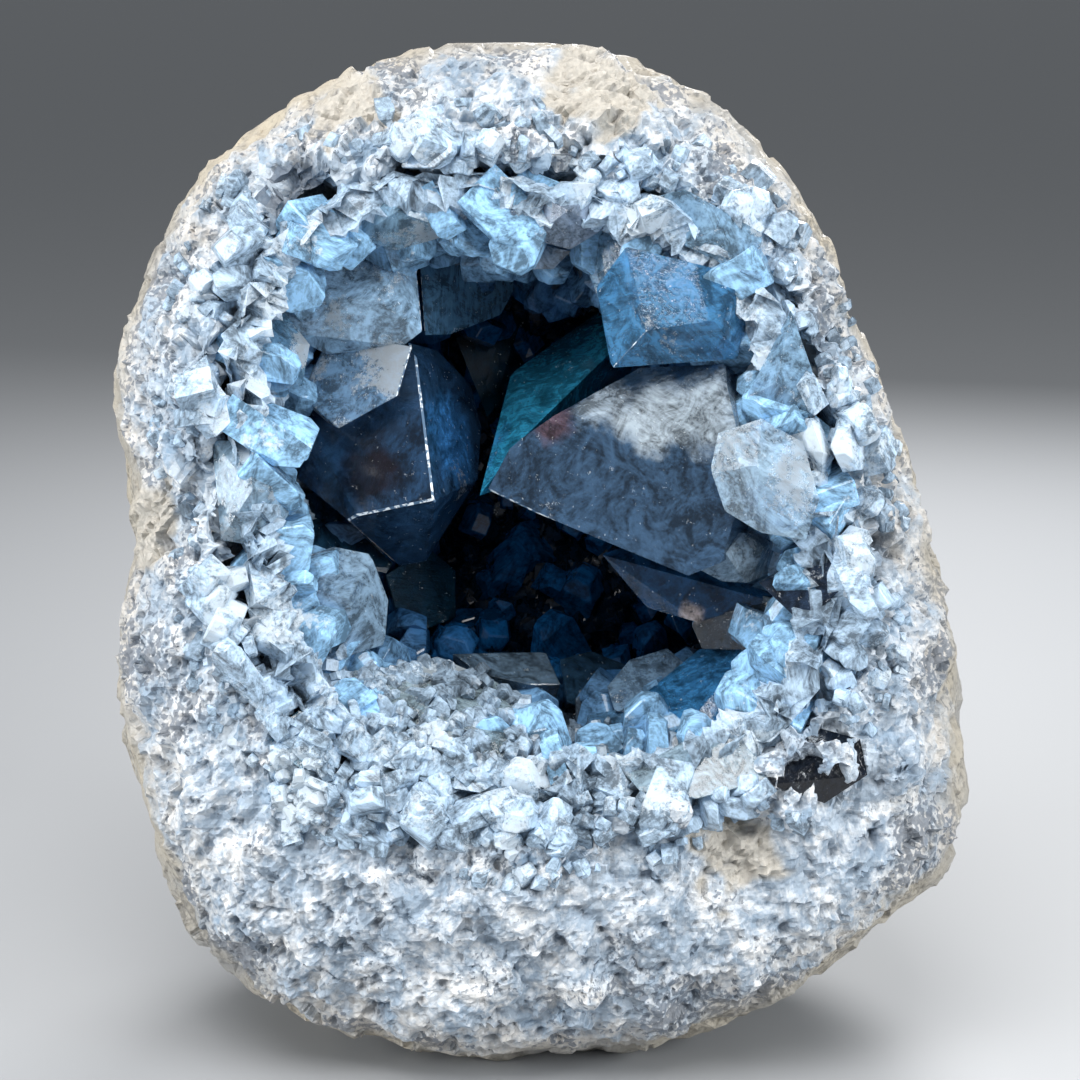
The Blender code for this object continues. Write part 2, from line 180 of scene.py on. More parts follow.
def start_material(name, **values):
    """A material with a Principled shader, and the place of its patterns in upright millimetres."""
    material = bpy.data.materials.new(name)
    material.use_nodes = True
    shader = material.node_tree.nodes["Principled BSDF"]
    for key, value in values.items():
        shader.inputs[key.replace("_", " ")].default_value = value
    places = add(material, "ShaderNodeTexCoord", {})
    at = add(material, "ShaderNodeMapping", {
        "Vector": places.outputs["Object"], "Location": REST_AT * MM, "Rotation": (LEAN, 0, 0),
        "Scale": (MM, MM, MM),
    }, vector_type="TEXTURE")
    return material, shader, at.outputs["Vector"]


print("white of the rim, linear:", [round(c, 2) for c in srgb("#DFE6EE")])


# %% Flat grains and fibres as nodes
def facets(material, at, size):
    """(height, random colour) of flat-faced grains of a size in mm, each with its own slope."""
    cells = add(material, "ShaderNodeTexVoronoi", {"Vector": at, "Scale": 1 / size})
    offset = add(material, "ShaderNodeVectorMath", {
        0: at, 1: cells.outputs["Position"]}, operation="SUBTRACT")
    slope = add(material, "ShaderNodeVectorMath", {
        0: cells.outputs["Color"], 1: (0.5, 0.5, 0.5)}, operation="SUBTRACT")
    height = add(material, "ShaderNodeVectorMath", {
        0: offset.outputs["Vector"], 1: slope.outputs["Vector"]}, operation="DOT_PRODUCT")
    return height.outputs["Value"], cells.outputs["Color"]


def fibres(material, at, lump, width):
    """Noise drawn out into fibres of a width in mm, which run another way in each lump."""
    lumps = add(material, "ShaderNodeTexVoronoi", {"Vector": at, "Scale": 1 / lump})
    turn = add(material, "ShaderNodeVectorMath", {
        0: lumps.outputs["Color"], 1: (0.5, 0.5, 0.5)}, operation="SUBTRACT")
    way = add(material, "ShaderNodeVectorMath", {0: turn.outputs["Vector"]}, operation="NORMALIZE")
    along = add(material, "ShaderNodeVectorMath", {0: at, 1: way.outputs["Vector"]}, operation="DOT_PRODUCT")
    share = add(material, "ShaderNodeMath", {0: along.outputs["Value"], 1: -0.85}, operation="MULTIPLY")
    squeeze = add(material, "ShaderNodeVectorMath", {
        0: way.outputs["Vector"], "Scale": share.outputs[0]}, operation="SCALE")
    squeezed = add(material, "ShaderNodeVectorMath", {0: at, 1: squeeze.outputs["Vector"]}, operation="ADD")
    drawn = add(material, "ShaderNodeTexNoise", {
        "Vector": squeezed.outputs["Vector"], "Scale": 1 / width, "Detail": 3.0, "Roughness": 0.65})
    return drawn.outputs["Fac"]


print("materials so far:", len(bpy.data.materials))

# %% [markdown]
# ## Helpers for finished pieces
# A finished piece stays at the origin, with its place in its mesh, as the frame asks. It also stays inside
# the box of the solids, which sets the real size and the flat spot that the stone rests on.

# %% Setting a piece down
def set_down(mesh, name, node, materials):
    """Makes a piece of a mesh that stands upright in millimetres, in place of one of the frame's nodes."""
    mesh.transform(AT_REST)
    piece = bpy.data.objects.new(name, mesh)
    bpy.context.scene.collection.objects.link(piece)
    for material in materials:
        mesh.materials.append(material)
    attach(piece, "root")
    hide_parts(node)
    mesh.calc_loop_triangles()
    print(name, "has", len(mesh.loop_triangles), "triangles")
    return piece


def keep_in_box(shape):
    """Draws points that stand out of the solids' box back onto its side, so the flat spot stays flat."""
    for vert in shape.verts:
        placed = AT_REST @ vert.co
        placed = Vector(max(low, min(high, c)) for c, low, high in zip(placed, cad_low, cad_high))
        vert.co = UPRIGHT @ placed


def to_mesh(shape, name):
    """The mesh of a finished bmesh, which is freed."""
    mesh = bpy.data.meshes.new(name)
    shape.to_mesh(mesh)
    shape.free()
    return mesh


def surface_of(mesh):
    """The faces of a mesh, as a tree that can be asked where a line meets them."""
    points = [vert.co for vert in mesh.vertices]
    return BVHTree.FromPolygons(points, [face.vertices for face in mesh.polygons])


print("scale from upright millimetres to metres:", MM)

# %% [markdown]
# ## Floor
# A wide pale board, far larger than the stone, so that its edges stay out of every view. One flat face is
# enough, because only its shadow and its dull sheen show.

# %% Floor
FLOOR_REACH = 60.0

floor_shape = bmesh.new()
bmesh.ops.create_grid(floor_shape, x_segments=1, y_segments=1, size=FLOOR_REACH)
floor = bpy.data.objects.new("floor", to_mesh(floor_shape, "floor"))
bpy.context.scene.collection.objects.link(floor)
# Matt lacquered board: an even grey that takes a soft shadow and no mirror image.
board, board_shader, _ = start_material("matt_board", Roughness=0.6)
board_shader.inputs["Base Color"].default_value = srgb("#9B9DA0")
floor.data.materials.append(board)
print("floor, in m:", [round(side, 1) for side in floor.dimensions])

# %% [markdown]
# ## The outline and the mouth
# Seen from the front, the stone has an outline like an egg, and the mouth of its hollow is a rounded
# triangle. Both are written as the few points, (across, up), where the edge turns. A curve object could
# join them. A function of the angle is used instead, because every later step has to ask how near an edge a
# point is.

# %% Outline and mouth
OUTLINE = (
    (57, 0), (54, 14), (49, 28), (46, 38), (41, 49), (33, 59), (24, 66), (12, 72), (-6, 75), (-19, 73),
    (-30, 68), (-48, 57), (-56, 47), (-61, 35), (-65, 22), (-63, 11), (-62, 0), (-63, -11), (-62, -30),
    (-57, -48), (-51, -61), (-40, -69), (-27, -74), (0, -76), (26, -73), (39, -67), (51, -60), (59, -49),
    (63, -36), (61, -22), (59, -10),
)
MOUTH = (
    (43, 0), (41, 15), (36, 31), (28, 43), (14, 50), (0, 52), (-16, 53), (-31, 50), (-41, 42), (-45, 31),
    (-46, 18), (-43, -3), (-41, -15), (-33, -28), (-16, -36), (5, -38), (22, -36), (35, -29), (43, -15),
)


def ring_radius(points, middle):
    """A function of the angle, in radians, that gives the radius of a closed outline about its middle."""
    offsets = [(across - middle[0], up - middle[2]) for across, up in points]
    ring = sorted((math.atan2(up, across), math.hypot(across, up)) for across, up in offsets)
    ring = [(ring[-1][0] - 2 * math.pi, ring[-1][1])] + ring + [(ring[0][0] + 2 * math.pi, ring[0][1])]

    def radius_at(angle):
        for (a, ra), (b, rb) in zip(ring, ring[1:]):
            if a <= angle <= b:
                return ra + (rb - ra) * (angle - a) / (b - a)
        raise ValueError(angle)

    return radius_at


def first_surface(across, up, trees):
    """Where a line from the front first meets one of the surfaces, and which way that faces."""
    hits = [tree.ray_cast(Vector((across, -90.0, up)), Vector((0, 1, 0))) for tree in trees]
    hits = [(where.y, index, where, facing) for index, (where, facing, _, _) in enumerate(hits) if where]
    return min(hits)[2:] if hits else (None, None)


outline_radius = ring_radius(OUTLINE, (0, 0, 0))
mouth_radius = ring_radius(MOUTH, (0, 0, 0))
print("half width at the middle, in mm:", round(outline_radius(0.0), 1))

# %% [markdown]
# ## Relief of the rind
# The broken face of such a nodule is massive celestite: thousands of blunt grains grown through each other,
# some a millimetre across and some five, with pits between them. A pattern of cells gives that. Each cell
# is one flat face with its own tilt and its own height, so that the light catches each one differently. The
# outside was in the ground for long, so its grains are worn low and pitted.

# %% Grains, pits and fibres
def flat_grains(at, size, tilt, step):
    """Height of flat-faced grains of a size. Each grain is a plane with its own slope and its own step."""
    _, centres = noise.voronoi(at / size)
    own = noise.cell_vector(centres[0]) * 2.0 - Vector((1.0, 1.0, 1.0))
    return (at / size - centres[0]).dot(own) * tilt * size + own.x * step


def pits(at, size, share):
    """From 0 outside to 1 at the bottom of the pits that take up about that share of the surface."""
    depth = noise.noise(at / size) * 0.5 + 0.5
    return max(0.0, min(1.0, (share - depth) / 0.08))


def feathers(at, size, width):
    """Fibres about one width across, which run another way in each lump of about one size."""
    _, centres = noise.voronoi(at / size)
    along = (noise.cell_vector(centres[0]) * 2.0 - Vector((1.0, 1.0, 1.0))).normalized()
    return noise.noise((at - along * at.dot(along) * 0.8) / width)


print("a grain's height, in mm:", round(flat_grains(Vector((3, -40, -55)), 5.0, 0.5, 1.0), 2))

# %% Where the break, the mouth and the patches are
TAN_PATCHES = (
    (-28.0, 62.0, 6.0), (9.0, 63.0, 8.0), (28.0, -45.0, 6.5), (-57.0, 4.0, 6.0), (55.0, -57.0, 7.0),
    (40.0, 60.0, 4.0),
)
POCKETS = ((-34.0, 49.0, 6.0), (49.0, -2.0, 3.5))
BREAK_AT = -17.0
EDGE_BAND = 14.0


def broken_share(at, facing):
    """1 on the broken face at the front, 0 on the weathered skin, with a ragged line between them."""
    ragged = at.y + 5.0 * noise.noise(at / 7.0) + 2.5 * noise.noise(at / 2.2)
    return max(0.0, min(1.0, (BREAK_AT - ragged) / 5.0)) * max(0.0, min(1.0, (0.55 - facing.y) * 3.0))


def near_mouth(at):
    """1 at the edge of the mouth, falling to 0 at the end of the band outside it."""
    gap = math.hypot(at.x, at.z) - mouth_radius(math.atan2(at.z, at.x))
    return max(0.0, min(1.0, 1.0 - gap / EDGE_BAND))


def margin(at):
    """1 at the outline of the stone, falling to 0 at the end of the band inside it."""
    gap = outline_radius(math.atan2(at.z, at.x)) - math.hypot(at.x, at.z)
    return max(0.0, min(1.0, 1.0 - gap / EDGE_BAND))


def sand(at):
    """From 0 outside the sandy patches of the rim to 1 inside one."""
    share = 0.0
    for across, up, radius in TAN_PATCHES:
        ragged = 4.5 * noise.noise(at / 6.0) + 2.5 * noise.noise(at / 2.0)
        gap = radius - math.hypot(at.x - across, at.z - up) + ragged
        share = max(share, min(1.0, gap / 1.5))
    return share * max(0.0, min(1.0, (5.0 - at.y) / 5.0))


def pocket(at):
    """From 0 outside the dark open pockets of the rim to 1 in the middle of one."""
    deep = 0.0
    for across, up, radius in POCKETS:
        ragged = math.hypot(at.x - across, at.z - up) + 1.5 * noise.noise(at / 2.0)
        deep = max(deep, min(1.0, 2.5 * (1.0 - ragged / radius)))
    return deep


print("sand in the middle of the first patch:", round(sand(Vector((-28.0, -30.0, 62.0))), 2))


# %% Height of the relief at a point
def rind_height(at, facing):
    """(height in mm, share of broken face, how deep in a pit, how near the mouth) at a point."""
    broken = broken_share(at, facing)
    near = near_mouth(at) * broken
    open_pocket = pocket(at) * broken
    blocky = flat_grains(at, 7.5, 0.45, 1.2) + flat_grains(at, 3.9, 0.65, 0.6)
    massive = 1.0 * feathers(at, 8.0, 2.4) + flat_grains(at, 5.0, 0.2, 0.3) + 1.3 * noise.noise(at / 8.0)
    fine = flat_grains(at, 1.3, 0.3, 0.08)
    pit = pits(at, 2.4, 0.31)
    fresh = blocky * near + massive * (1.0 - near) + fine - 0.8 * pit - 4.0 * open_pocket
    worn_pit = pits(at + Vector((50, 0, 0)), 2.6, 0.3)
    worn = 1.1 * noise.noise(at / 12.0) + 0.7 * noise.noise(at / 4.0) + flat_grains(at, 6.0, 0.15, 0.25)
    height = fresh * broken + (worn - 0.8 * worn_pit) * (1.0 - broken)
    return height, broken, (pit + 2.0 * open_pocket) * broken + worn_pit * (1.0 - broken), near


print("relief at the chin, in mm:", round(rind_height(Vector((0, -40, -55)), Vector((0, -1, 0)))[0], 2))

# %% [markdown]
# ## The rind
# The rind is the stone itself, one lump that was broken open. Sculpting could give its grains, but it could
# not be repeated. So the mesh starts as a copy of the solid, merged, then remade of even squares about 1.9
# mm wide. Only the front is split finer, because that is where the grains show. Then each point moves by
# the relief, and attributes remember what the finish has to know: how fresh, how deep and how sandy a point
# is, and how near the mouth or the outline.

# %% An even mesh of the rind
RIND_VOXEL = 1.9

rind_shape = bmesh.new()
rind_shape.from_mesh(frame["nodes"]["rind"].data)
bmesh.ops.remove_doubles(rind_shape, verts=rind_shape.verts[:], dist=1e-6)
bmesh.ops.transform(rind_shape, matrix=UPRIGHT, verts=rind_shape.verts[:])
blank = bpy.data.objects.new("rind_blank", to_mesh(rind_shape, "rind_blank"))
bpy.context.scene.collection.objects.link(blank)
even = blank.modifiers.new("even", "REMESH")
even.mode = "VOXEL"
even.voxel_size = RIND_VOXEL
graph = bpy.context.evaluated_depsgraph_get()
even_mesh = bpy.data.meshes.new_from_object(blank.evaluated_get(graph))
bpy.data.objects.remove(blank)
print("even squares:", len(even_mesh.polygons))

# %% Finer squares at the front
FRONT_CUTS = 2

rind_shape = bmesh.new()
rind_shape.from_mesh(even_mesh)
bmesh.ops.smooth_vert(rind_shape, verts=rind_shape.verts[:], factor=0.5, use_axis_x=True,
                      use_axis_y=True, use_axis_z=True)
front = [face for face in rind_shape.faces if face.calc_center_median().y < -14 and face.normal.y < -0.2]
front_edges = list(dict.fromkeys(edge for face in front for edge in face.edges))
bmesh.ops.subdivide_edges(rind_shape, edges=front_edges, cuts=FRONT_CUTS, use_grid_fill=True)
bmesh.ops.smooth_vert(rind_shape, verts=rind_shape.verts[:], factor=0.5, use_axis_x=True,
                      use_axis_y=True, use_axis_z=True)
rind_shape.normal_update()
print("squares with the finer front:", len(rind_shape.faces))

# %% The relief on the mesh
fresh_layer = rind_shape.verts.layers.float.new("fresh")
pit_layer = rind_shape.verts.layers.float.new("pit")
near_layer = rind_shape.verts.layers.float.new("near")
margin_layer = rind_shape.verts.layers.float.new("margin")
sand_layer = rind_shape.verts.layers.float.new("sand")
moves = []
for vert in rind_shape.verts:
    height, vert[fresh_layer], vert[pit_layer], vert[near_layer] = rind_height(vert.co, vert.normal)
    vert[margin_layer] = margin(vert.co)
    vert[sand_layer] = sand(vert.co)
    moves.append(vert.normal * height)
for vert, move in zip(rind_shape.verts, moves):
    vert.co += move

keep_in_box(rind_shape)
rind_mesh = to_mesh(rind_shape, "rind_body")
rind_tree = surface_of(rind_mesh)
print("points of the rind:", len(rind_mesh.vertices))

# %% [markdown]
# ## Finish of the rind: the fresh break
# Massive celestite is white to blue-grey, sugary and dull. White feathery veins run through it, and round
# the mouth it breaks into blocky grains of about 3 mm. A painted image would blur up close. Layers of
# noise, each as coarse as the real thing in millimetres, stay sharp and need no image.

# %% White and blue-grey of the break
# Sugary celestite, broken and never polished: thousands of tiny faces scatter the light, so it looks dull.
rind_finish, shader, at = start_material("sugary_celestite", Roughness=0.7, IOR=1.62)
cloud = add(rind_finish, "ShaderNodeTexNoise", {
    "Vector": at, "Scale": 1 / 6.0, "Detail": 4.0, "Roughness": 0.7})
cloud_range = add(rind_finish, "ShaderNodeMapRange", {
    "Value": cloud.outputs["Fac"], "From Min": 0.38, "From Max": 0.6})
feathery = fibres(rind_finish, at, 7.0, 1.4)
web = add(rind_finish, "ShaderNodeTexNoise", {
    "Vector": at, "Scale": 1 / 7.0, "Detail": 4.0, "Roughness": 0.6, "Distortion": 0.8},
    noise_type="RIDGED_MULTIFRACTAL")
web_range = add(rind_finish, "ShaderNodeMapRange", {
    "Value": web.outputs["Fac"], "From Min": 0.35, "From Max": 1.5, "To Min": -0.2, "To Max": 0.42})
both_clouds = add(rind_finish, "ShaderNodeMath", {
    0: feathery, 1: 0.6, 2: cloud.outputs["Fac"]}, operation="MULTIPLY_ADD")
webbed = add(rind_finish, "ShaderNodeMath", {
    0: both_clouds.outputs[0], 1: web_range.outputs["Result"]}, operation="ADD")
massive_range = add(rind_finish, "ShaderNodeMapRange", {
    "Value": webbed.outputs[0], "From Min": 0.52, "From Max": 0.84})
massive = add(rind_finish, "ShaderNodeMix", {
    0: massive_range.outputs["Result"], 6: srgb("#8E9DAC"), 7: srgb("#F6F7F7")}, data_type="RGBA")
block_height, block_tone = facets(rind_finish, at, 3.2)
block_range = add(rind_finish, "ShaderNodeSeparateColor", {"Color": block_tone})
blocky = add(rind_finish, "ShaderNodeMix", {
    0: block_range.outputs["Blue"], 6: srgb("#7C94AA"), 7: srgb("#C7D0D8")}, data_type="RGBA")
near = add(rind_finish, "ShaderNodeAttribute", {}, attribute_name="near")
near_range = add(rind_finish, "ShaderNodeMath", {0: near.outputs["Fac"], 1: cloud_range.outputs["Result"]},
                 operation="SUBTRACT")
near_share = add(rind_finish, "ShaderNodeMapRange", {
    "Value": near_range.outputs[0], "From Min": -0.3, "From Max": 0.5})
white_blue = add(rind_finish, "ShaderNodeMix", {
    0: near_share.outputs["Result"], 6: massive.outputs[2], 7: blocky.outputs[2]}, data_type="RGBA")
grain_height, grain_colour = facets(rind_finish, at, 1.0)
grain_tone = add(rind_finish, "ShaderNodeSeparateColor", {"Color": grain_colour})
grain_range = add(rind_finish, "ShaderNodeMapRange", {
    "Value": grain_tone.outputs["Red"], "To Min": 0.84, "To Max": 1.12})
toned = add(rind_finish, "ShaderNodeMix", {
    0: 1.0, 6: white_blue.outputs[2], 7: grain_range.outputs["Result"]},
    data_type="RGBA", blend_type="MULTIPLY")
print("nodes so far:", len(rind_finish.node_tree.nodes))

# %% [markdown]
# ## Finish of the rind: blots, stains and specks
# Broken celestite is never clean. Greyer lumps show through, the edge of the stone is stained warm by soil,
# and its margin is dotted with dark mineral. Clay has settled in sandy patches. Each is one more layer
# mixed over the last, so that each can be tuned alone.

# %% Blots, warm edge and dark specks
margin_share = add(rind_finish, "ShaderNodeAttribute", {}, attribute_name="margin")
blot = add(rind_finish, "ShaderNodeTexNoise", {
    "Vector": at, "Scale": 1 / 3.8, "Detail": 2.0, "Roughness": 0.6})
blot_range = add(rind_finish, "ShaderNodeMapRange", {
    "Value": blot.outputs["Fac"], "From Min": 0.58, "From Max": 0.66, "To Max": 0.6})
blotted = add(rind_finish, "ShaderNodeMix", {
    0: blot_range.outputs["Result"], 6: toned.outputs[2], 7: srgb("#6F8193")}, data_type="RGBA")
warm_sum = add(rind_finish, "ShaderNodeMath", {
    0: margin_share.outputs["Fac"], 1: 0.35, 2: cloud.outputs["Fac"]}, operation="MULTIPLY_ADD")
warm_range = add(rind_finish, "ShaderNodeMapRange", {
    "Value": warm_sum.outputs[0], "From Min": 0.56, "From Max": 0.86, "To Max": 0.75})
warmed = add(rind_finish, "ShaderNodeMix", {
    0: warm_range.outputs["Result"], 6: blotted.outputs[2], 7: srgb("#B7AFA4")}, data_type="RGBA")
speck = add(rind_finish, "ShaderNodeTexNoise", {"Vector": at, "Scale": 1 / 0.9, "Detail": 2.5})
speck_zone = add(rind_finish, "ShaderNodeTexNoise", {"Vector": at, "Scale": 1 / 12.0, "Detail": 2.0})
speck_sum = add(rind_finish, "ShaderNodeMath", {
    0: speck.outputs["Fac"], 1: speck_zone.outputs["Fac"]}, operation="ADD")
speck_edge = add(rind_finish, "ShaderNodeMath", {
    0: margin_share.outputs["Fac"], 1: 0.12, 2: speck_sum.outputs[0]}, operation="MULTIPLY_ADD")
speck_range = add(rind_finish, "ShaderNodeMapRange", {
    "Value": speck_edge.outputs[0], "From Min": 1.14, "From Max": 1.2, "To Max": 0.75})
specked = add(rind_finish, "ShaderNodeMix", {
    0: speck_range.outputs["Result"], 6: warmed.outputs[2], 7: srgb("#55606E")}, data_type="RGBA")
print("nodes so far:", len(rind_finish.node_tree.nodes))

# %% Sandy patches
stain = add(rind_finish, "ShaderNodeAttribute", {}, attribute_name="sand")
sand_colour = add(rind_finish, "ShaderNodeMix", {
    0: speck.outputs["Fac"], 6: srgb("#8C8983"), 7: srgb("#CBC5BA")}, data_type="RGBA")
stained = add(rind_finish, "ShaderNodeMix", {
    0: stain.outputs["Fac"], 6: specked.outputs[2], 7: sand_colour.outputs[2]}, data_type="RGBA")
print("nodes so far:", len(rind_finish.node_tree.nodes))

# %% [markdown]
# ## Finish of the rind: the weathered skin
# The outside lay in the ground for long, so it is grey-beige, worn and dotted. It uses the same veins as
# the break, only fainter, because it is the same stone under the dirt. The attribute of freshness mixes the
# two.

# %% Weathered skin
skin_zone = add(rind_finish, "ShaderNodeTexNoise", {"Vector": at, "Scale": 1 / 24.0, "Detail": 2.0})
skin_zone_range = add(rind_finish, "ShaderNodeMapRange", {
    "Value": skin_zone.outputs["Fac"], "From Min": 0.35, "From Max": 0.65})
skin_base = add(rind_finish, "ShaderNodeMix", {
    0: skin_zone_range.outputs["Result"], 6: srgb("#918F8B"), 7: srgb("#ADA493")}, data_type="RGBA")
skin_white = add(rind_finish, "ShaderNodeMapRange", {
    "Value": webbed.outputs[0], "From Min": 0.7, "From Max": 1.05, "To Max": 0.7})
skin_pale = add(rind_finish, "ShaderNodeMix", {
    0: skin_white.outputs["Result"], 6: skin_base.outputs[2], 7: srgb("#D5D9DB")}, data_type="RGBA")
skin_speck = add(rind_finish, "ShaderNodeMapRange", {
    "Value": speck_sum.outputs[0], "From Min": 1.07, "From Max": 1.22, "To Max": 0.6})
skin_colour = add(rind_finish, "ShaderNodeMix", {
    0: skin_speck.outputs["Result"], 6: skin_pale.outputs[2], 7: srgb("#5A5854")}, data_type="RGBA")
fresh = add(rind_finish, "ShaderNodeAttribute", {}, attribute_name="fresh")
outside = add(rind_finish, "ShaderNodeMix", {
    0: fresh.outputs["Fac"], 6: skin_colour.outputs[2], 7: stained.outputs[2]}, data_type="RGBA")
print("nodes so far:", len(rind_finish.node_tree.nodes))

# %% [markdown]
# ## Finish of the rind: pits and grit
# Pits hold shade and dirt, so they are darkened a little. The finest grit, under a millimetre, is too fine
# for the mesh and is left to a bump.

# %% Pits, dullness and grit
pit = add(rind_finish, "ShaderNodeAttribute", {}, attribute_name="pit")
pit_range = add(rind_finish, "ShaderNodeMath", {0: pit.outputs["Fac"], 1: 0.42}, operation="MULTIPLY")
pitted = add(rind_finish, "ShaderNodeMix", {
    0: pit_range.outputs[0], 6: outside.outputs[2], 7: srgb("#46505E")}, data_type="RGBA")
rough_range = add(rind_finish, "ShaderNodeMapRange", {
    "Value": grain_tone.outputs["Green"], "To Min": 0.45, "To Max": 0.95})
fine_sum = add(rind_finish, "ShaderNodeMath", {
    0: grain_height, 1: 1.1, 2: speck.outputs["Fac"]}, operation="MULTIPLY_ADD")
both_sum = add(rind_finish, "ShaderNodeMath", {
    0: block_height, 1: 0.4, 2: fine_sum.outputs[0]}, operation="MULTIPLY_ADD")
bump = add(rind_finish, "ShaderNodeBump", {
    "Height": both_sum.outputs[0], "Strength": 0.8, "Distance": 0.4 * MM})
links = rind_finish.node_tree.links
links.new(pitted.outputs[2], shader.inputs["Base Color"])
links.new(rough_range.outputs["Result"], shader.inputs["Roughness"])
links.new(bump.outputs["Normal"], shader.inputs["Normal"])
set_down(rind_mesh, "rind_body", "rind", [rind_finish])

# %% [markdown]
# ## Where the large crystals stand
# A few dozen crystals of 8 to 30 mm fill the mouth, and each real one is different. So each is written down
# by itself: its tint, how frosted it is from 0 to about 1, where its root goes back to, how much it narrows
# on the way, and its corners as they show from the mouth, in upright millimetres.

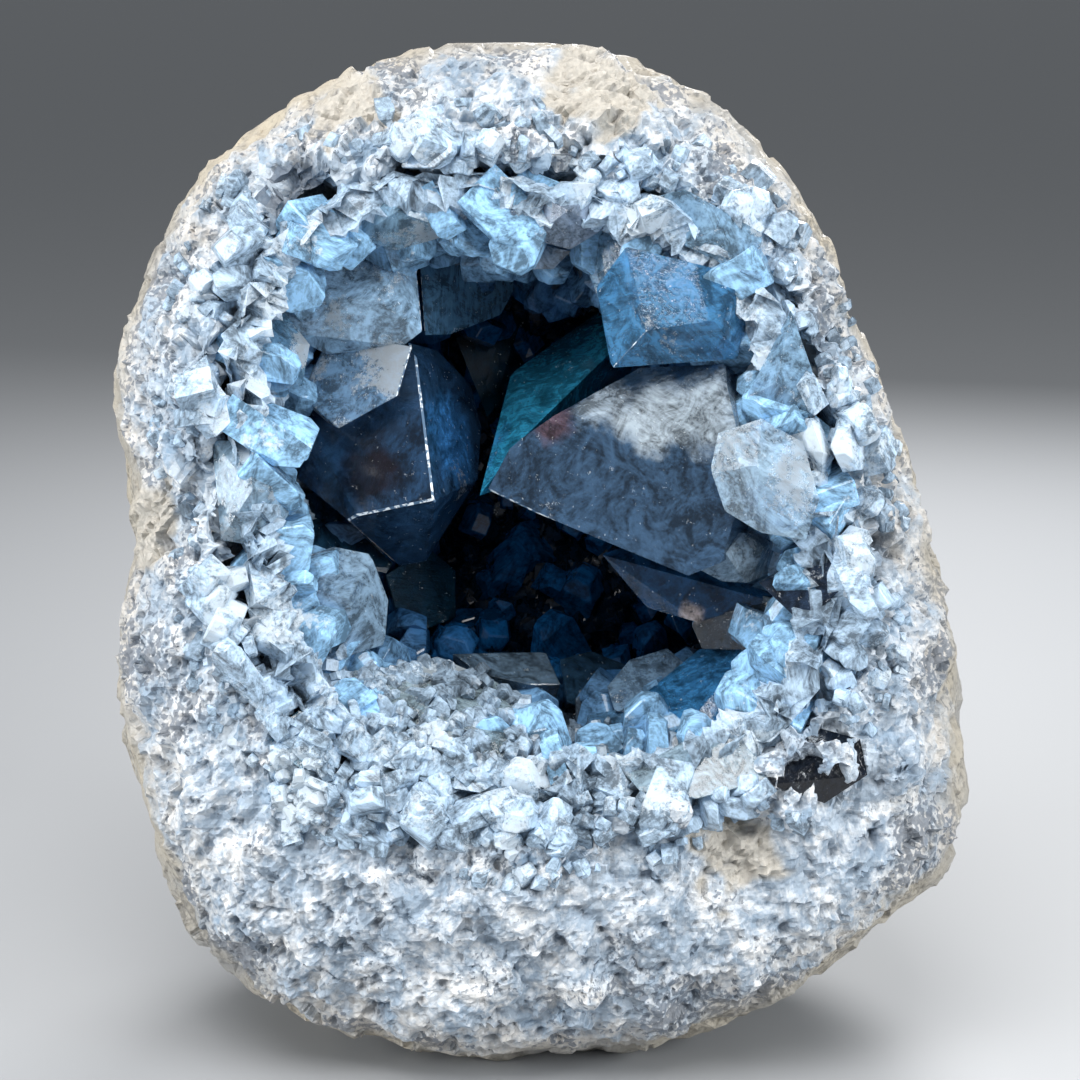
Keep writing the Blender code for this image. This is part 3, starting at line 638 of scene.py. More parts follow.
# %% Corners of the large crystals
CRYSTALS = {
    "left_block": (
        "#2A4A6C", 0, (-46, 24, 22), 0.85,
        (-19, -19, 29), (-15, -25, 6), (-15, -10, 28), (-10, -5, 23), (-9, -4, 17), (-10, -9, 8),
        (-17, -8, -3), (-21, -7, -4), (-28, -20, 3), (-35, -15, 9), (-36, -16, 22), (-31, -12, 29),
    ),
    "left_step": (
        "#7399BC", 1.2, (-46, 20, 30), 0.7,
        (-35, -20, 21), (-29, -24, 16), (-20, -25, 21), (-19, -23, 28), (-30, -19, 30),
    ),
    "upper_left_slab": (
        "#A9D0F0", 0.7, (-42, 16, 48), 0.8,
        (-41, -24, 35), (-40, -22, 40), (-31, -20, 44), (-18, -21, 40), (-17, -23, 30), (-20, -22, 28),
        (-31, -20, 27), (-37, -24, 30), (-24, -26, 35),
    ),
    "left_knob": (
        "#6A93B2", 0.9, (-56, 4, 30), 0.9,
        (-46, -28, 28), (-44, -27, 32), (-37, -25, 33), (-33, -26, 28), (-34, -27, 22), (-40, -28, 21),
        (-44, -29, 23), (-39, -32, 28),
    ),
    "upper_back": (
        "#6698BE", 0.2, (-12, 30, 56), 0.9,
        (-18, -12, 43), (-13, -10, 47), (-6, -4, 45), (-3, -1, 40), (-6, -4, 34), (-13, -10, 31),
        (-17, -14, 30),
    ),
    "deep_teal": (
        "#0A3245", 0, (-6, 44, 40), 0.9,
        (-13, 2, 31), (-3, 6, 34), (0, 10, 38), (-2, 8, 27), (-8, 2, 19),
    ),
    "right_wedge": (
        "#3F5B78", 0, (52, 10, 16), 0.9,
        (-8, -22, 7), (-5, -23, 13), (2, -23, 18), (15, -21, 25), (26, -29, 25), (29, -33, 10),
        (26, -31, -3), (21, -29, -5), (9, -25, 0),
    ),
    "teal_blade": (
        "#3090B6", 0, (34, 34, 34), 0.9,
        (-8, -20, 7), (-7, -12, 16), (-3, -4, 26), (9, 0, 35), (12, -8, 29), (-3, -18, 15),
    ),
    "upper_right_block": (
        "#4A86B4", 0.1, (38, 8, 50), 0.8,
        (10, -30, 25), (9, -30, 32), (8, -29, 36), (12, -33, 41), (21, -35, 39), (28, -34, 37),
        (29, -32, 31), (28, -31, 26), (23, -31, 25), (15, -36, 29), (25, -36, 31),
    ),
    "upper_right_knob": (
        "#7EA8C8", 0.5, (16, 10, 58), 0.9,
        (6, -24, 41), (9, -27, 44), (14, -29, 43), (12, -28, 34), (9, -26, 33),
    ),
    "upper_right_shelf": (
        "#8FB4D0", 0.7, (34, 0, 62), 0.9,
        (10, -30, 47), (16, -33, 43), (25, -35, 40), (31, -36, 37), (31, -36, 43), (20, -36, 49),
    ),
    "lower_left_round": (
        "#93B2CC", 0.1, (-48, 18, -18), 0.9,
        (-37, -24, -7), (-36, -22, -3), (-30, -21, -1), (-25, -19, -2), (-22, -18, -9), (-23, -20, -15),
        (-28, -24, -17), (-33, -26, -15), (-37, -26, -12), (-31, -28, -7), (-27, -27, -9),
    ),
    "striated_blade": (
        "#1E3E55", 0, (-52, 14, 6), 1.0,
        (-41, -16, 7), (-35, -12, 7), (-22, -6, -3), (-23, -8, -5), (-40, -18, -1),
    ),
    "low_teal": (
        "#123448", 0, (-30, 34, -12), 0.9,
        (-23, -4, -5), (-17, 0, -1), (-13, 3, -5), (-13, 3, -12), (-21, -2, -15),
    ),
    "left_cluster": (
        "#9CBAD0", 1.1, (-58, -10, 8), 0.9,
        (-46, -33, 14), (-41, -34, 14), (-35, -32, 8), (-36, -31, 3), (-39, -33, -1), (-45, -33, 0),
        (-40, -37, 7),
    ),
    "floor_plate": (
        "#5D7488", 0, (-8, 14, -48), 0.9,
        (-13, -10, -17), (-6, -4, -17), (1, -4, -17), (3, -10, -22), (-2, -13, -21), (-9, -13, -20),
    ),
    "floor_dark": (
        "#28445C", 0, (6, 24, -42), 0.9,
        (3, -4, -18), (8, -1, -17), (13, -2, -19), (9, -8, -26), (4, -8, -24),
    ),
    "floor_round": (
        "#6F8CA6", 0.1, (22, 8, -44), 0.9,
        (10, -14, -22), (13, -11, -18), (19, -11, -16), (22, -12, -19), (21, -16, -24), (15, -18, -25),
        (11, -17, -25),
    ),
    "floor_blue": (
        "#3C7DB0", 0, (36, 2, -40), 0.9,
        (15, -20, -28), (16, -17, -22), (24, -12, -16), (32, -16, -15), (31, -20, -22), (26, -23, -27),
        (20, -24, -28),
    ),
    "floor_small": (
        "#4F7698", 0.2, (12, -4, -48), 0.9,
        (7, -16, -26), (15, -16, -24), (15, -24, -31), (9, -24, -32),
    ),
    "floor_shelf": (
        "#93A9B4", 1.0, (-14, 0, -58), 1.0,
        (-31, -29, -25), (-28, -24, -19), (-14, -14, -18), (-8, -15, -20), (5, -27, -30), (8, -32, -34),
        (-14, -35, -34), (-26, -35, -31), (-18, -28, -24),
    ),
    "low_left_floor": (
        "#6A86A3", 0.2, (-46, 2, -36), 0.9,
        (-41, -27, -16), (-36, -24, -15), (-33, -26, -22), (-35, -30, -25), (-39, -31, -21),
    ),
    "rim_left_facet": (
        "#6796AE", 0.2, (-44, -10, -44), 0.9,
        (-39, -34, -28), (-34, -33, -24), (-29, -33, -25), (-33, -37, -32),
    ),
    "rim_bottom_cluster": (
        "#A3BCCB", 0.8, (26, -6, -56), 0.9,
        (12, -33, -33), (21, -32, -28), (28, -34, -28), (33, -36, -33), (22, -38, -36), (14, -37, -35),
    ),
    "right_low_wedge": (
        "#1F4E78", 0, (48, 8, -8), 0.9,
        (9, -14, -2), (13, -12, -1), (24, -14, -3), (33, -20, -9), (23, -18, -12), (16, -15, -10),
    ),
    "right_low_hexagon": (
        "#9DB4C6", 0.2, (50, -4, 0), 0.9,
        (21, -26, -3), (23, -27, 1), (29, -28, 1), (32, -28, -1), (30, -27, -6), (26, -26, -6),
        (26, -31, -2),
    ),
    "right_low_dark": (
        "#2C3C4C", 0, (50, 2, -22), 0.9,
        (22, -16, -12), (33, -22, -9), (34, -22, -16), (24, -16, -16),
    ),
    "right_flake": (
        "#2C3D54", 0.5, (56, -12, -8), 0.9,
        (31, -30, -6), (41, -35, -3), (42, -35, -7), (37, -33, -12),
    ),
    "right_cluster": (
        "#A5C3DA", 0.9, (56, -8, 12), 0.9,
        (24, -34, 10), (25, -34, 15), (31, -35, 17), (36, -36, 14), (39, -37, 6), (37, -37, 0),
        (31, -36, 1), (26, -34, 4), (30, -39, 10),
    ),
    "right_upper_cluster": (
        "#8DB2CF", 0.6, (54, -4, 30), 0.9,
        (29, -33, 20), (33, -35, 26), (35, -35, 32), (38, -36, 24), (38, -36, 17), (33, -37, 22),
    ),
    "top_knob_left": (
        "#93A5BA", 0.2, (-6, -4, 64), 0.8,
        (-8, -28, 48), (-4, -30, 51), (0, -31, 50), (1, -30, 44), (-3, -28, 40), (-7, -27, 43),
        (-4, -34, 46),
    ),
    "top_knob_right": (
        "#8C9CB0", 0.2, (6, -6, 64), 0.8,
        (-1, -32, 49), (8, -32, 49), (9, -31, 44), (4, -30, 41), (-1, -31, 43), (4, -36, 46),
    ),
    "top_knob_low": (
        "#8FA6BC", 0.2, (0, 4, 62), 0.9,
        (-6, -24, 44), (4, -26, 41), (2, -25, 39), (-3, -23, 39), (-6, -22, 41),
    ),
    "top_left_cluster": (
        "#8FB3CC", 0.9, (-24, -6, 62), 0.9,
        (-27, -31, 48), (-16, -32, 50), (-13, -30, 44), (-20, -28, 41), (-26, -29, 43), (-20, -35, 46),
    ),
    "top_prism": (
        "#B5A9AE", 0.2, (-13, -18, 62), 0.8,
        (-12, -30, 51), (-10, -31, 51), (-8, -28, 45), (-10, -28, 44), (-12, -29, 47),
    ),
}
print("large crystals:", len(CRYSTALS))

# %% [markdown]
# ## Shape of the large crystals
# A convex hull round the corners would do, but its small triangles look like crumpled paper. A crystal has
# few faces, and each is dead flat. So the hull's triangles are sorted by the way that they face, and a big
# cube is cut once by each group's plane, as a gem cutter works. Narrow bevels stand for worn edges, and
# wider ones for the edges that were knocked; one of these wider white lines is a painted highlight.

# %% Roots inside the hollow
HOLLOW_MIDDLE = Vector((0.0, -6.0, 8.0))
HOLLOW_BACK = 40.0
hollow_radius = ring_radius(MOUTH, HOLLOW_MIDDLE)


def inside_hollow(point):
    """The point itself, or where it meets the wall of the hollow on its way to the middle."""
    off = point - HOLLOW_MIDDLE
    radius = hollow_radius(math.atan2(off.z, off.x)) - 1.5
    depth = max(0.0, off.y) / (HOLLOW_BACK - 1.5)
    out = ((math.hypot(off.x, off.z) / radius) ** 2.6 + depth ** 2.6) ** (1 / 2.6)
    return HOLLOW_MIDDLE + off / max(1.0, out)


print("half width of the hollow, in mm:", round(hollow_radius(0.0), 1))

# %% Flat faces, chipped edges and a painted highlight line
# Edges knocked white, as seen from the front. The upright line at 17.5 mm across is a painted highlight.
CHIPPED_AND_GLINT_EDGES = (
    ((-20.5, 29.5), (-16.0, 6.5)), ((-29.0, 3.5), (-16.0, 5.0)), ((-18.5, 42.0), (-18.5, 31.0)),
    ((-6.0, 6.5), (2.0, 3.5)), ((17.5, 7.0), (17.5, -3.0)), ((11.0, 34.0), (11.5, 27.0)),
    ((20.0, -11.5), (25.0, -12.0)),
)


def flat_faces(hull, spread):
    """The planes of a hull, (point, normal), where triangles that face nearly the same way share one."""
    groups = []
    for face in sorted(hull.faces, key=lambda f: -f.calc_area()):
        weight = face.calc_area()
        at = face.calc_center_median()
        for group in groups:
            if face.normal.angle(group[1]) < spread:
                group[0] += at * weight
                group[1] += face.normal * weight
                group[2] += weight
                break
        else:
            groups.append([at * weight, face.normal * weight, weight])
    return [(total / weight, normal.normalized()) for total, normal, weight in groups]


def off_chip_and_glint_edges(point):
    """How far a point lies from the nearest chipped edge or painted highlight line, in mm as seen from the
    front.
    """
    at = Vector((point.x, point.z))
    gaps = []
    for start, end in CHIPPED_AND_GLINT_EDGES:
        line = Vector(end) - Vector(start)
        along = max(0.0, min(1.0, (at - Vector(start)).dot(line) / line.length_squared))
        gaps.append((at - Vector(start) - line * along).length)
    return min(gaps)


print("chipped edges:", len(CHIPPED_AND_GLINT_EDGES))


# %% Cutting and bevelling
BOX_SIDES = [
    (UPRIGHT @ corner, UPRIGHT.to_3x3().normalized() @ (turn * axis))
    for corner, turn in ((cad_low, -1), (cad_high, 1))
    for axis in (Vector((1, 0, 0)), Vector((0, 1, 0)), Vector((0, 0, 1)))
]


def cut(shape, at, normal):
    """Cuts away what lies in front of a plane, and closes the cut with a face."""
    geom = shape.verts[:] + shape.edges[:] + shape.faces[:]
    bmesh.ops.bisect_plane(shape, geom=geom, plane_co=at, plane_no=normal, clear_outer=True)
    bmesh.ops.holes_fill(shape, edges=[edge for edge in shape.edges if edge.is_boundary])


def soften(shape, edges, width):
    """Bevels edges by one flat face of a width in mm, and returns the new faces."""
    made = bmesh.ops.bevel(shape, geom=edges, offset=width, affect="EDGES", segments=1, profile=0.5,
                           material=-1, clamp_overlap=True)
    return made["faces"]


print("planes that keep a crystal in the box:", len(BOX_SIDES))

# %% One crystal
SAME_FACE = math.radians(17.0)
CHIP_REACH = 1.5
CHIP_WIDTH = 0.4
WORN_WIDTH = 0.15


def corner_crystal(root, taper, corners):
    """One crystal with flat faces near its corners, drawn back to its root, with knocked edges."""
    hull = bmesh.new()
    centre = sum((Vector(c) for c in corners), Vector()) / len(corners)
    points = [Vector(c) for c in corners]
    points += [inside_hollow(Vector(root) + (Vector(c) - centre) * taper) for c in corners]
    made = bmesh.ops.convex_hull(hull, input=[hull.verts.new(p) for p in points])
    loose = [v for v in made["geom_interior"] + made["geom_unused"] if isinstance(v, bmesh.types.BMVert)]
    bmesh.ops.delete(hull, geom=list(dict.fromkeys(loose)), context="VERTS")
    bmesh.ops.recalc_face_normals(hull, faces=hull.faces[:])
    hull.normal_update()
    middle = sum(points, Vector()) / len(points)
    one = bmesh.new()
    bmesh.ops.create_cube(one, size=160.0)
    bmesh.ops.translate(one, vec=middle, verts=one.verts)
    for at, normal in (*flat_faces(hull, SAME_FACE), *BOX_SIDES):
        cut(one, at, normal)
    hull.free()
    bmesh.ops.dissolve_limit(one, angle_limit=0.02, verts=one.verts[:], edges=one.edges[:])
    chip_and_glint_edges = [edge for edge in one.edges if off_chip_and_glint_edges((edge.verts[0].co + edge.verts[1].co) / 2) < CHIP_REACH]
    for face in soften(one, chip_and_glint_edges, CHIP_WIDTH):
        face.material_index = 1
    whole = [edge for edge in one.edges if not any(face.material_index for face in edge.link_faces)]
    soften(one, whole, WORN_WIDTH)
    bmesh.ops.recalc_face_normals(one, faces=one.faces[:])
    return to_mesh(one, "crystal")


print("angle within which triangles share a face, in degrees:", round(math.degrees(SAME_FACE)))

# %% All large crystals
# A thin dark flake lies on the rim at the lower right, just proud of it.
FLAKE = ((29, -27), (37, -26), (45, -28), (46, -33), (40, -37), (32, -34))
flake_corners = [(across, first_surface(across, up, (rind_tree,))[0].y - 1.2, up) for across, up in FLAKE]
flake = ("#161D29", 0.3, (38, -20, -34), 0.5, *flake_corners)
main_shape = bmesh.new()
tints = []
frosts = []
for tint, frost, root, taper, *corners in (*CRYSTALS.values(), flake):
    one = corner_crystal(root, taper, corners)
    tints += srgb(tint) * len(one.vertices)
    frosts += [frost] * len(one.vertices)
    main_shape.from_mesh(one)
    bpy.data.meshes.remove(one)
main_mesh = to_mesh(main_shape, "main_crystals")
main_mesh.attributes.new("tint", "FLOAT_COLOR", "POINT").data.foreach_set("color", tints)
main_mesh.attributes.new("frost", "FLOAT", "POINT").data.foreach_set("value", frosts)
main_tree = surface_of(main_mesh)
print("faces of the large crystals:", len(main_mesh.polygons))

# %% [markdown]
# ## The druse behind the crystals
# The wall of the hollow is not bare: a crust of small crystals, a druse, covers it everywhere. Thousands of
# separate crystals would be heavy and would hardly show in the dark. So half a sphere is drawn out to the
# form of the hollow, faceted by the same pattern of flat grains, and a Solidify modifier gives it its
# thickness.

# %% Druse wall
VOID_MIDDLE = Vector((0.0, -34.0, 8.0))
VOID_BACK = 61.0
CRUST_WALL = 6.5
FINER_FROM = -20.0
FINER_OVER = 10.0

void_radius = ring_radius(MOUTH, VOID_MIDDLE)
druse_shape = bmesh.new()
bmesh.ops.create_uvsphere(druse_shape, u_segments=300, v_segments=270, radius=1.0)
bmesh.ops.rotate(druse_shape, verts=druse_shape.verts[:], matrix=Matrix.Rotation(math.pi / 2, 3, "X"))
bmesh.ops.bisect_plane(druse_shape, geom=druse_shape.verts[:] + druse_shape.edges[:] + druse_shape.faces[:],
                       plane_co=(0, 0.001, 0), plane_no=(0, -1, 0), clear_outer=True)
for vert in druse_shape.verts:
    across, depth, up = vert.co
    radius = void_radius(math.atan2(up, across)) - CRUST_WALL
    out = (math.hypot(across, up) / radius) ** 2.0 + (abs(depth) / (VOID_BACK - CRUST_WALL)) ** 2.0
    vert.co = VOID_MIDDLE + vert.co / math.sqrt(out)
druse_shape.normal_update()
for vert in druse_shape.verts:
    inward = (VOID_MIDDLE + Vector((0, 12, 0)) - vert.co).normalized()
    at_lip = max(0.0, min(1.0, (FINER_FROM - vert.co.y) / FINER_OVER))
    deep = flat_grains(vert.co, 6.0, 0.6, 0.9) + flat_grains(vert.co, 2.6, 0.6, 0.3)
    small = flat_grains(vert.co, 3.6, 0.7, 0.5) + flat_grains(vert.co, 1.5, 0.6, 0.15)
    vert.co += inward * (deep * (1.0 - at_lip) + small * at_lip + 0.6)
bmesh.ops.recalc_face_normals(druse_shape, faces=druse_shape.faces[:])
bmesh.ops.reverse_faces(druse_shape, faces=druse_shape.faces[:])
druse_mesh = to_mesh(druse_shape, "druse_wall")
druse_tree = surface_of(druse_mesh)
print("points of the druse:", len(druse_mesh.vertices))

# %% [markdown]
# ## Finishes of the crystals
# Celestite is strontium sulphate. Its large crystals are clear, and their blue comes from inside, so it is
# set as a volume that takes out red light: a thin crystal looks pale and a thick one deep blue. Veils and
# cracks cloud them, and their faces are glossy with fine growth lines; their fine white specks are partly
# crumbs and partly painted glints. The small crystals are too thin and too cloudy to see through, so they
# get the same patterns without the volume, which also saves much time. Their colour turns from pale at the
# lip to dark at the back of the hollow, with fewer white grains there: that is painted shade. A few spots
# of colour lie on known faces: a brown inclusion, a royal blue face, a pink streak and a torn pale patch.
# One pale spot low on the right is a painted highlight.

# %% Spots on the large crystals
# (across, up, radius, tint). The pale spot at (17, -27) is a painted highlight.
SPOTS_AND_HIGHLIGHT = (
    (-25, 10, 5, "#1E1317"), (-13, 15, 7, "#3F84C8"), (2, 17, 3.2, "#6B5560"), (9, 20, 4.5, "#B9CAD8"),
    (16, 18, 6, "#C6D5E0"), (24, 18, 6, "#C0D0DC"), (17, -27, 2, "#D3D3D9"), (22, -11, 2, "#D8C8C4"),
)


def spots_and_highlight(material, at, own):
    """A colour with the spots of colour and a painted highlight on it, each with a ragged edge."""
    edge = add(material, "ShaderNodeTexNoise", {"Vector": at, "Scale": 1 / 3.0, "Detail": 3.0})
    for across, up, radius, tint in SPOTS_AND_HIGHLIGHT:
        middle, _ = first_surface(across, up, (main_tree,))
        away = add(material, "ShaderNodeVectorMath", {0: at, 1: middle}, operation="DISTANCE")
        ragged = add(material, "ShaderNodeMath", {
            0: edge.outputs["Fac"], 1: radius * 1.2, 2: away.outputs["Value"]}, operation="MULTIPLY_ADD")
        share = add(material, "ShaderNodeMapRange", {
            "Value": ragged.outputs[0], "From Min": radius * 1.75, "From Max": radius * 1.2, "To Max": 0.9})
        own = add(material, "ShaderNodeMix", {
            0: share.outputs["Result"], 6: own, 7: srgb(tint)}, data_type="RGBA").outputs[2]
    return own


print("spots:", len(SPOTS_AND_HIGHLIGHT))


# %% Veils and cracks
def veiled(material, at, own, growth):
    """A colour made darker and lighter by veils, which follow the growth lines."""
    veil = add(material, "ShaderNodeTexNoise", {
        "Vector": at, "Scale": 1 / 4.5, "Detail": 4.5, "Roughness": 0.72, "Distortion": 1.2})
    veils = add(material, "ShaderNodeMath", {
        0: growth, 1: 0.45, 2: veil.outputs["Fac"]}, operation="MULTIPLY_ADD")
    veil_range = add(material, "ShaderNodeMapRange", {
        "Value": veils.outputs[0], "From Min": 0.6, "From Max": 0.86, "To Min": 0.4, "To Max": 1.7})
    return add(material, "ShaderNodeMix", {
        0: 1.0, 6: own, 7: veil_range.outputs["Result"]}, data_type="RGBA", blend_type="MULTIPLY").outputs[2]


def cracked(material, at, own):
    """A colour with a few pale cracks in it."""
    cracks = add(material, "ShaderNodeTexNoise", {
        "Vector": at, "Scale": 1 / 9.0, "Detail": 3.0, "Roughness": 0.5, "Distortion": 0.5},
        noise_type="RIDGED_MULTIFRACTAL")
    crack_range = add(material, "ShaderNodeMapRange", {
        "Value": cracks.outputs["Fac"], "From Min": 1.15, "From Max": 1.8, "To Max": 0.45})
    return add(material, "ShaderNodeMix", {
        0: crack_range.outputs["Result"], 6: own, 7: srgb("#B9CBD9")}, data_type="RGBA").outputs[2]


print("pale tint of the cracks, linear:", [round(c, 2) for c in srgb("#B9CBD9")])


# %% Fine white grains on the faces
def whitened(material, at, depth, crust, large):
    """How white a face is, from 0 to 0.7. A large crystal has its own frost from its mesh, and fine specks,
    which are partly crumbs and partly painted glints, and a small one has less the deeper it sits, which
    is painted shade."""
    grains = add(material, "ShaderNodeTexNoise", {
        "Vector": at, "Scale": 1 / 1.1, "Detail": 4.0, "Roughness": 0.8})
    zones = add(material, "ShaderNodeTexNoise", {"Vector": at, "Scale": 1 / 8.0, "Detail": 1.0})
    both = add(material, "ShaderNodeMath", {
        0: grains.outputs["Fac"], 1: 0.8, 2: zones.outputs["Fac"]}, operation="MULTIPLY_ADD")
    if large:
        lead = add(material, "ShaderNodeAttribute", {}, attribute_name="frost").outputs["Fac"]
    else:
        # A small crystal has fewer white grains the deeper it sits: part of the painted shade.
        lead = depth
    frosty = add(material, "ShaderNodeMath", {
        0: lead, 1: 0.23 if large else -0.25, 2: both.outputs[0]}, operation="MULTIPLY_ADD")
    white = add(material, "ShaderNodeMapRange", {
        "Value": frosty.outputs[0], "From Min": 1.08 - crust, "From Max": 1.2 - crust, "To Max": 0.7})
    if not large:
        return white.outputs["Result"]
    # Fine white specks: partly crumbs, partly painted glints.
    white_specks_and_glints = add(material, "ShaderNodeMapRange", {
        "Value": grains.outputs["Fac"], "From Min": 0.64, "From Max": 0.7, "To Max": 0.6})
    return add(material, "ShaderNodeMath", {
        0: white.outputs["Result"], 1: white_specks_and_glints.outputs["Result"]}, operation="MAXIMUM").outputs[0]


print("white of the grains, linear:", [round(c, 2) for c in srgb("#CDD8E0")])


# %% Material of a crystal
def crystal_material(name, tints, roughness, crust, transmission=0.0, density=0.0):
    """Celestite, with its tints at the lip and at the back of the hollow, or with None for the large
    crystals, whose meshes hold them. The darker tint at the back is painted shade. crust is the share of
    the faces under fine white grains, and density, in 1/m, says how strongly the inside takes out light."""
    material, shader, at = start_material(
        name, Roughness=roughness, IOR=1.62, Transmission_Weight=transmission, Specular_IOR_Level=0.22)
    place = add(material, "ShaderNodeSeparateXYZ", {"Vector": at})
    # depth is 0 at the lip and 1 at the back of the hollow; the small crystals darken with it as painted
    # shade.
    depth = add(material, "ShaderNodeMapRange", {
        "Value": place.outputs["Y"], "From Min": -34.0, "From Max": 2.0},
        interpolation_type="SMOOTHSTEP").outputs["Result"]
    growth = fibres(material, at, 14.0, 0.55)
    large = tints is None
    if large:
        tint = add(material, "ShaderNodeAttribute", {}, attribute_name="tint").outputs["Color"]
        clouded = cracked(material, at, veiled(material, at, spots_and_highlight(material, at, tint), growth))
    else:
        # Painted shade: from the lip tint to the dark back tint as depth grows.
        tint = add(material, "ShaderNodeMix", {
            0: depth, 6: srgb(tints[0]), 7: srgb(tints[1])}, data_type="RGBA").outputs[2]
        clouded = veiled(material, at, tint, growth)
    white = whitened(material, at, depth, crust, large)
    crusted = add(material, "ShaderNodeMix", {
        0: white, 6: clouded, 7: srgb("#CDD8E0")}, data_type="RGBA")
    dull = add(material, "ShaderNodeMapRange", {
        "Value": white, "To Min": roughness, "To Max": 0.7})
    links = material.node_tree.links
    links.new(crusted.outputs[2], shader.inputs["Base Color"])
    links.new(dull.outputs["Result"], shader.inputs["Roughness"])
    if large:
        uneven = add(material, "ShaderNodeMath", {0: white, 1: 1.5, 2: growth}, operation="MULTIPLY_ADD")
        bump = add(material, "ShaderNodeBump", {
            "Height": uneven.outputs[0], "Strength": 0.22, "Distance": 0.25 * MM})
        links.new(bump.outputs["Normal"], shader.inputs["Normal"])
    if density:
        inside = add(material, "ShaderNodeVolumeAbsorption", {"Color": srgb("#3E86B8"), "Density": density})
        links.new(inside.outputs["Volume"], material.node_tree.nodes["Material Output"].inputs["Volume"])
    return material


print("strong blue of the inside, linear:", [round(c, 2) for c in srgb("#3E86B8")])

# %% The five finishes
# Clear celestite, as grown: glossy flat faces, and light that turns blue on its way through.
clear_blue = crystal_material("clear_celestite", None, 0.06, -0.07, transmission=0.6, density=50.0)
# The same in the depth of the hollow, where no light comes through from behind. Its dark tint at the back
# is painted shade.
deep_blue = crystal_material("deep_celestite", ("#7FA6C4", "#0C3C66"), 0.08, 0.0)
# Pale celestite of the lip, cloudy and a little scratched, and darker towards the back as painted shade.
pale_blue = crystal_material("pale_celestite", ("#93A7B9", "#1B4058"), 0.12, 0.15)
# Milky celestite of the grains: so many flaws inside that it only looks soft and pale. Towards the back of
# the hollow it turns near black, as painted shade.
milky_blue = crystal_material("milky_celestite", ("#8A9DAE", "#061829"), 0.25, 0.12)
# A knocked edge, crushed to white powder in places and whole in others. One of these white lines is a
# painted highlight.
chip_and_glint_finish, frosted_shader, frosted_at = start_material("knocked_and_glint_edge", Roughness=0.55, IOR=1.62)
chip_noise = add(chip_and_glint_finish, "ShaderNodeTexNoise", {"Vector": frosted_at, "Scale": 1 / 0.9, "Detail": 3.0})
chip_range = add(chip_and_glint_finish, "ShaderNodeMapRange", {
    "Value": chip_noise.outputs["Fac"], "From Min": 0.49, "From Max": 0.55})
chip_and_glint_colour = add(chip_and_glint_finish, "ShaderNodeMix", {
    0: chip_range.outputs["Result"], 6: srgb("#3F5F7C"), 7: srgb("#E6EDF2")}, data_type="RGBA")
chip_and_glint_finish.node_tree.links.new(chip_and_glint_colour.outputs[2], frosted_shader.inputs["Base Color"])
print("materials:", len(bpy.data.materials))

# %% Setting down the large crystals and the wall
DRUSE_THICKNESS = 4.5

set_down(main_mesh, "main_crystals", "crystal_crust", [clear_blue, chip_and_glint_finish])
# The druse wall's finish turns near black at the back of the hollow: painted shade.
druse_wall = set_down(druse_mesh, "druse_wall", "crystal_crust", [milky_blue])
thickness = druse_wall.modifiers.new("thickness", "SOLIDIFY")
thickness.thickness = DRUSE_THICKNESS * MM
thickness.offset = -1.0

# %% [markdown]
# ## Patterns for the small crystals
# Hundreds of small ones sit round the lip, on the wall and on the broken face. Two dozen patterns are cut
# once, each a block with sloping ends as celestite grows, with about ten faces. Joining them in many sizes
# and directions hides that they repeat.

# %% Patterns of the small crystals
PATTERNS = 24
SLOPES = ((0.8, 0.0, 0.6), (-0.8, 0.0, 0.6), (0.0, 0.85, 0.53), (0.5, -0.75, 0.4), (0.7, 0.7, 0.1))


def crystal_pattern(rng, bevel):
    """A blocky crystal about 1 mm across, on its root at the origin, pointing up."""
    one = bmesh.new()
    bmesh.ops.create_cube(one, size=1.0)
    stretch = Vector((rng.uniform(0.8, 1.2), rng.uniform(0.5, 0.85), rng.uniform(1.2, 1.9)))
    bmesh.ops.scale(one, vec=stretch, verts=one.verts)
    for slope in SLOPES:
        normal = Vector(slope).normalized()
        reach = sum(abs(n * s) for n, s in zip(normal, stretch / 2)) * rng.uniform(0.62, 0.85)
        cut(one, normal * reach, normal)
    if bevel:
        soften(one, one.edges[:], bevel)
    bmesh.ops.recalc_face_normals(one, faces=one.faces[:])
    return to_mesh(one, "pattern")


pattern_rng = random.Random(SEED)
sharp_patterns = [crystal_pattern(pattern_rng, 0.0) for _ in range(PATTERNS)]
knocked_patterns = [crystal_pattern(pattern_rng, 0.03) for _ in range(PATTERNS)]
print("faces in a pattern:", len(sharp_patterns[0].polygons), len(knocked_patterns[0].polygons))

# %% [markdown]
# ## Crystals round the lip and on the broken face
# Small crystals crowd along the edge of the mouth and thin out away from it, in clumps with bare stone
# between. Particles could scatter them, but they would not be real mesh. Here each is joined to one mesh,
# rooted where a line from the front first meets the stone, and pointing about the way that the stone faces
# there. A seeded random draw gives the same stone each time.

# %% Setting one small crystal
def way_back(points):
    """How far points have to move to lie inside the solids' box."""
    placed = [AT_REST @ point for point in points]
    low = [max(0.0, side - min(spot[axis] for spot in placed)) for axis, side in enumerate(cad_low)]
    high = [max(0.0, max(spot[axis] for spot in placed) - side) for axis, side in enumerate(cad_high)]
    return UPRIGHT.to_3x3() @ (Vector(low) - Vector(high))


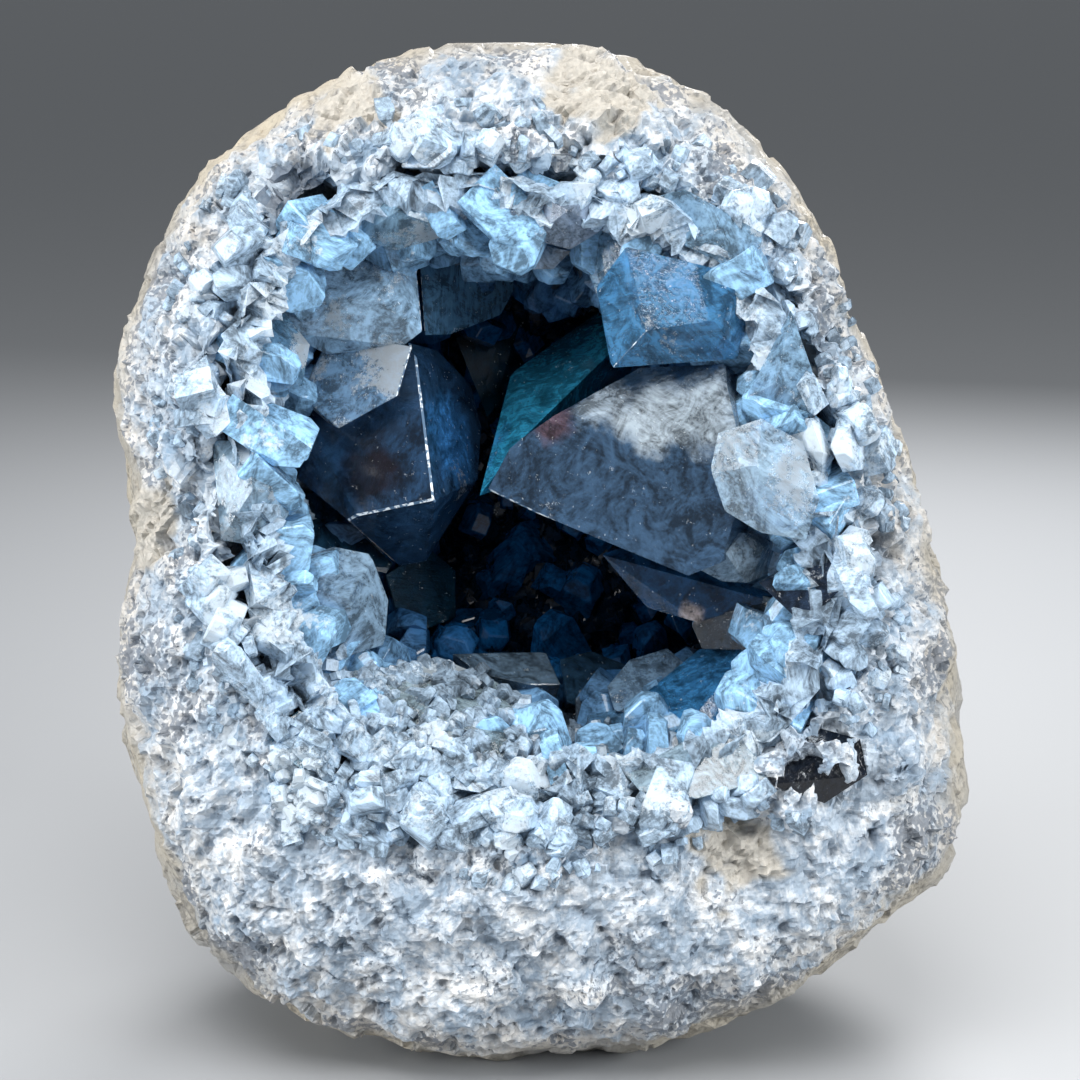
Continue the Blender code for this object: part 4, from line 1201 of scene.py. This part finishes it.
def scatter(shape, patterns, at, direction, size, rng):
    """Joins one small crystal to a shape, rooted at a point and pointing along a direction. One that would
    stand out of the solids' box sinks in until it doesn't."""
    pattern = rng.choice(patterns)
    turn = Matrix.Rotation(rng.uniform(0, 2 * math.pi), 3, "Z")
    turn = direction.to_track_quat("Z", "Y").to_matrix() @ turn
    place = Matrix.Translation(at) @ turn.to_4x4() @ Matrix.Scale(size, 4)
    place = Matrix.Translation(way_back([place @ vert.co for vert in pattern.vertices])) @ place
    pattern.transform(place)
    shape.from_mesh(pattern)
    pattern.transform(place.inverted())


def any_lean(rng, amount):
    """A random direction and length, to tilt a crystal by."""
    return Vector((rng.uniform(-1, 1), rng.uniform(-1, 1), rng.uniform(-1, 1))) * amount


print("a tilt:", [round(c, 2) for c in any_lean(random.Random(SEED), 0.5)])

# %% Crystals in rings round the mouth
BARE = (*TAN_PATCHES, (-34.0, 49.0, 7.5), (49.0, -2.0, 4.0), (38.0, -31.0, 8.0))


def scatter_ring(name, count, from_mouth, sizes, patterns, lean, sink, clumps, trees, keep_off, seed):
    """Small crystals at random places in a ring round the mouth, except on the large crystals that
    keep_off holds. from_mouth is (inner, outer) in mm, and a low value of clumps leaves more gaps."""
    rng = random.Random(seed)
    shape = bmesh.new()
    for index in range(count):
        angle = math.remainder(index * GOLDEN_ANGLE, 2 * math.pi)
        radius = mouth_radius(angle) + rng.uniform(*from_mouth)
        across, up = radius * math.cos(angle), radius * math.sin(angle)
        bare = any(math.hypot(across - x, up - z) < reach for x, z, reach in BARE)
        bare = bare or noise.noise(Vector((across, seed, up)) / 9.0) > clumps
        if bare or radius > outline_radius(angle) * 0.97:
            continue
        where, facing = first_surface(across, up, trees)
        large, _ = first_surface(across, up, (keep_off,))
        if where is None or (large and large.y < where.y + 1.0):
            continue
        size = rng.uniform(*sizes) * rng.uniform(0.7, 1.0)
        direction = (facing + Vector((0, -0.5, 0)) + any_lean(rng, lean)).normalized()
        scatter(shape, patterns, where - direction * size * sink, direction, size, rng)
    return to_mesh(shape, name)


lip_mesh = scatter_ring("lip_crystals", 440, (-5.0, 4.0), (2.2, 7.5), knocked_patterns, 0.7, 0.1, 0.12,
                        (rind_tree, druse_tree), main_tree, SEED + 1)
set_down(lip_mesh, "lip_crystals", "crystal_crust", [pale_blue])
rim_mesh = scatter_ring("rim_grains", 620, (0.0, 9.5), (1.2, 3.6), sharp_patterns, 0.8, 0.3, 0.25,
                        (rind_tree,), main_tree, SEED + 2)
set_down(rim_mesh, "rim_grains", "rind", [milky_blue])

# %% [markdown]
# ## Grains on the shelf
# Below the large crystals, the crust steps forward as a shelf of crumbly grains of 1 to 3 mm. They are
# scattered over a rectangle as seen from the front, and skipped where that looks past the shelf.

# %% Grains on the shelf below the crystals
SHELF = ((-37, 10), (-42, -16))
SHELF_FRONT = -13.0
SHELF_GRAINS = 700

shelf_rng = random.Random(SEED + 4)
shelf_shape = bmesh.new()
for _ in range(SHELF_GRAINS):
    across, up = shelf_rng.uniform(*SHELF[0]), shelf_rng.uniform(*SHELF[1])
    where, facing = first_surface(across, up, (main_tree, druse_tree, rind_tree))
    size = shelf_rng.uniform(1.0, 2.8)
    if where.y > SHELF_FRONT:
        continue
    direction = (facing + any_lean(shelf_rng, 0.9)).normalized()
    scatter(shelf_shape, sharp_patterns, where, direction, size, shelf_rng)
set_down(to_mesh(shelf_shape, "shelf_grains"), "shelf_grains", "crystal_crust", [milky_blue])

# %% [markdown]
# ## Crystals on the wall
# Deep in the hollow, larger points stand out of the druse and catch a little light between the big
# crystals. Lines drawn from inside the hollow in all directions find where they stand.

# %% Wall crystals
WALL_CRYSTALS = 420

wall_rng = random.Random(SEED + 3)
wall_shape = bmesh.new()
for _ in range(WALL_CRYSTALS):
    aim = Vector((wall_rng.gauss(0, 1), abs(wall_rng.gauss(0, 1)), wall_rng.gauss(0, 1))).normalized()
    where, facing, _, _ = druse_tree.ray_cast(VOID_MIDDLE + Vector((0, 2, 0)), aim)
    if where is None:
        continue
    inward = (VOID_MIDDLE + Vector((0, 10, 0)) - where).normalized()
    size = wall_rng.uniform(3.0, 8.0)
    direction = (inward + any_lean(wall_rng, 0.5)).normalized()
    scatter(wall_shape, knocked_patterns, where, direction, size, wall_rng)
# Their finish darkens them towards the back of the hollow: painted shade on top of the real shade there.
set_down(to_mesh(wall_shape, "wall_crystals"), "wall_crystals", "crystal_crust", [deep_blue])
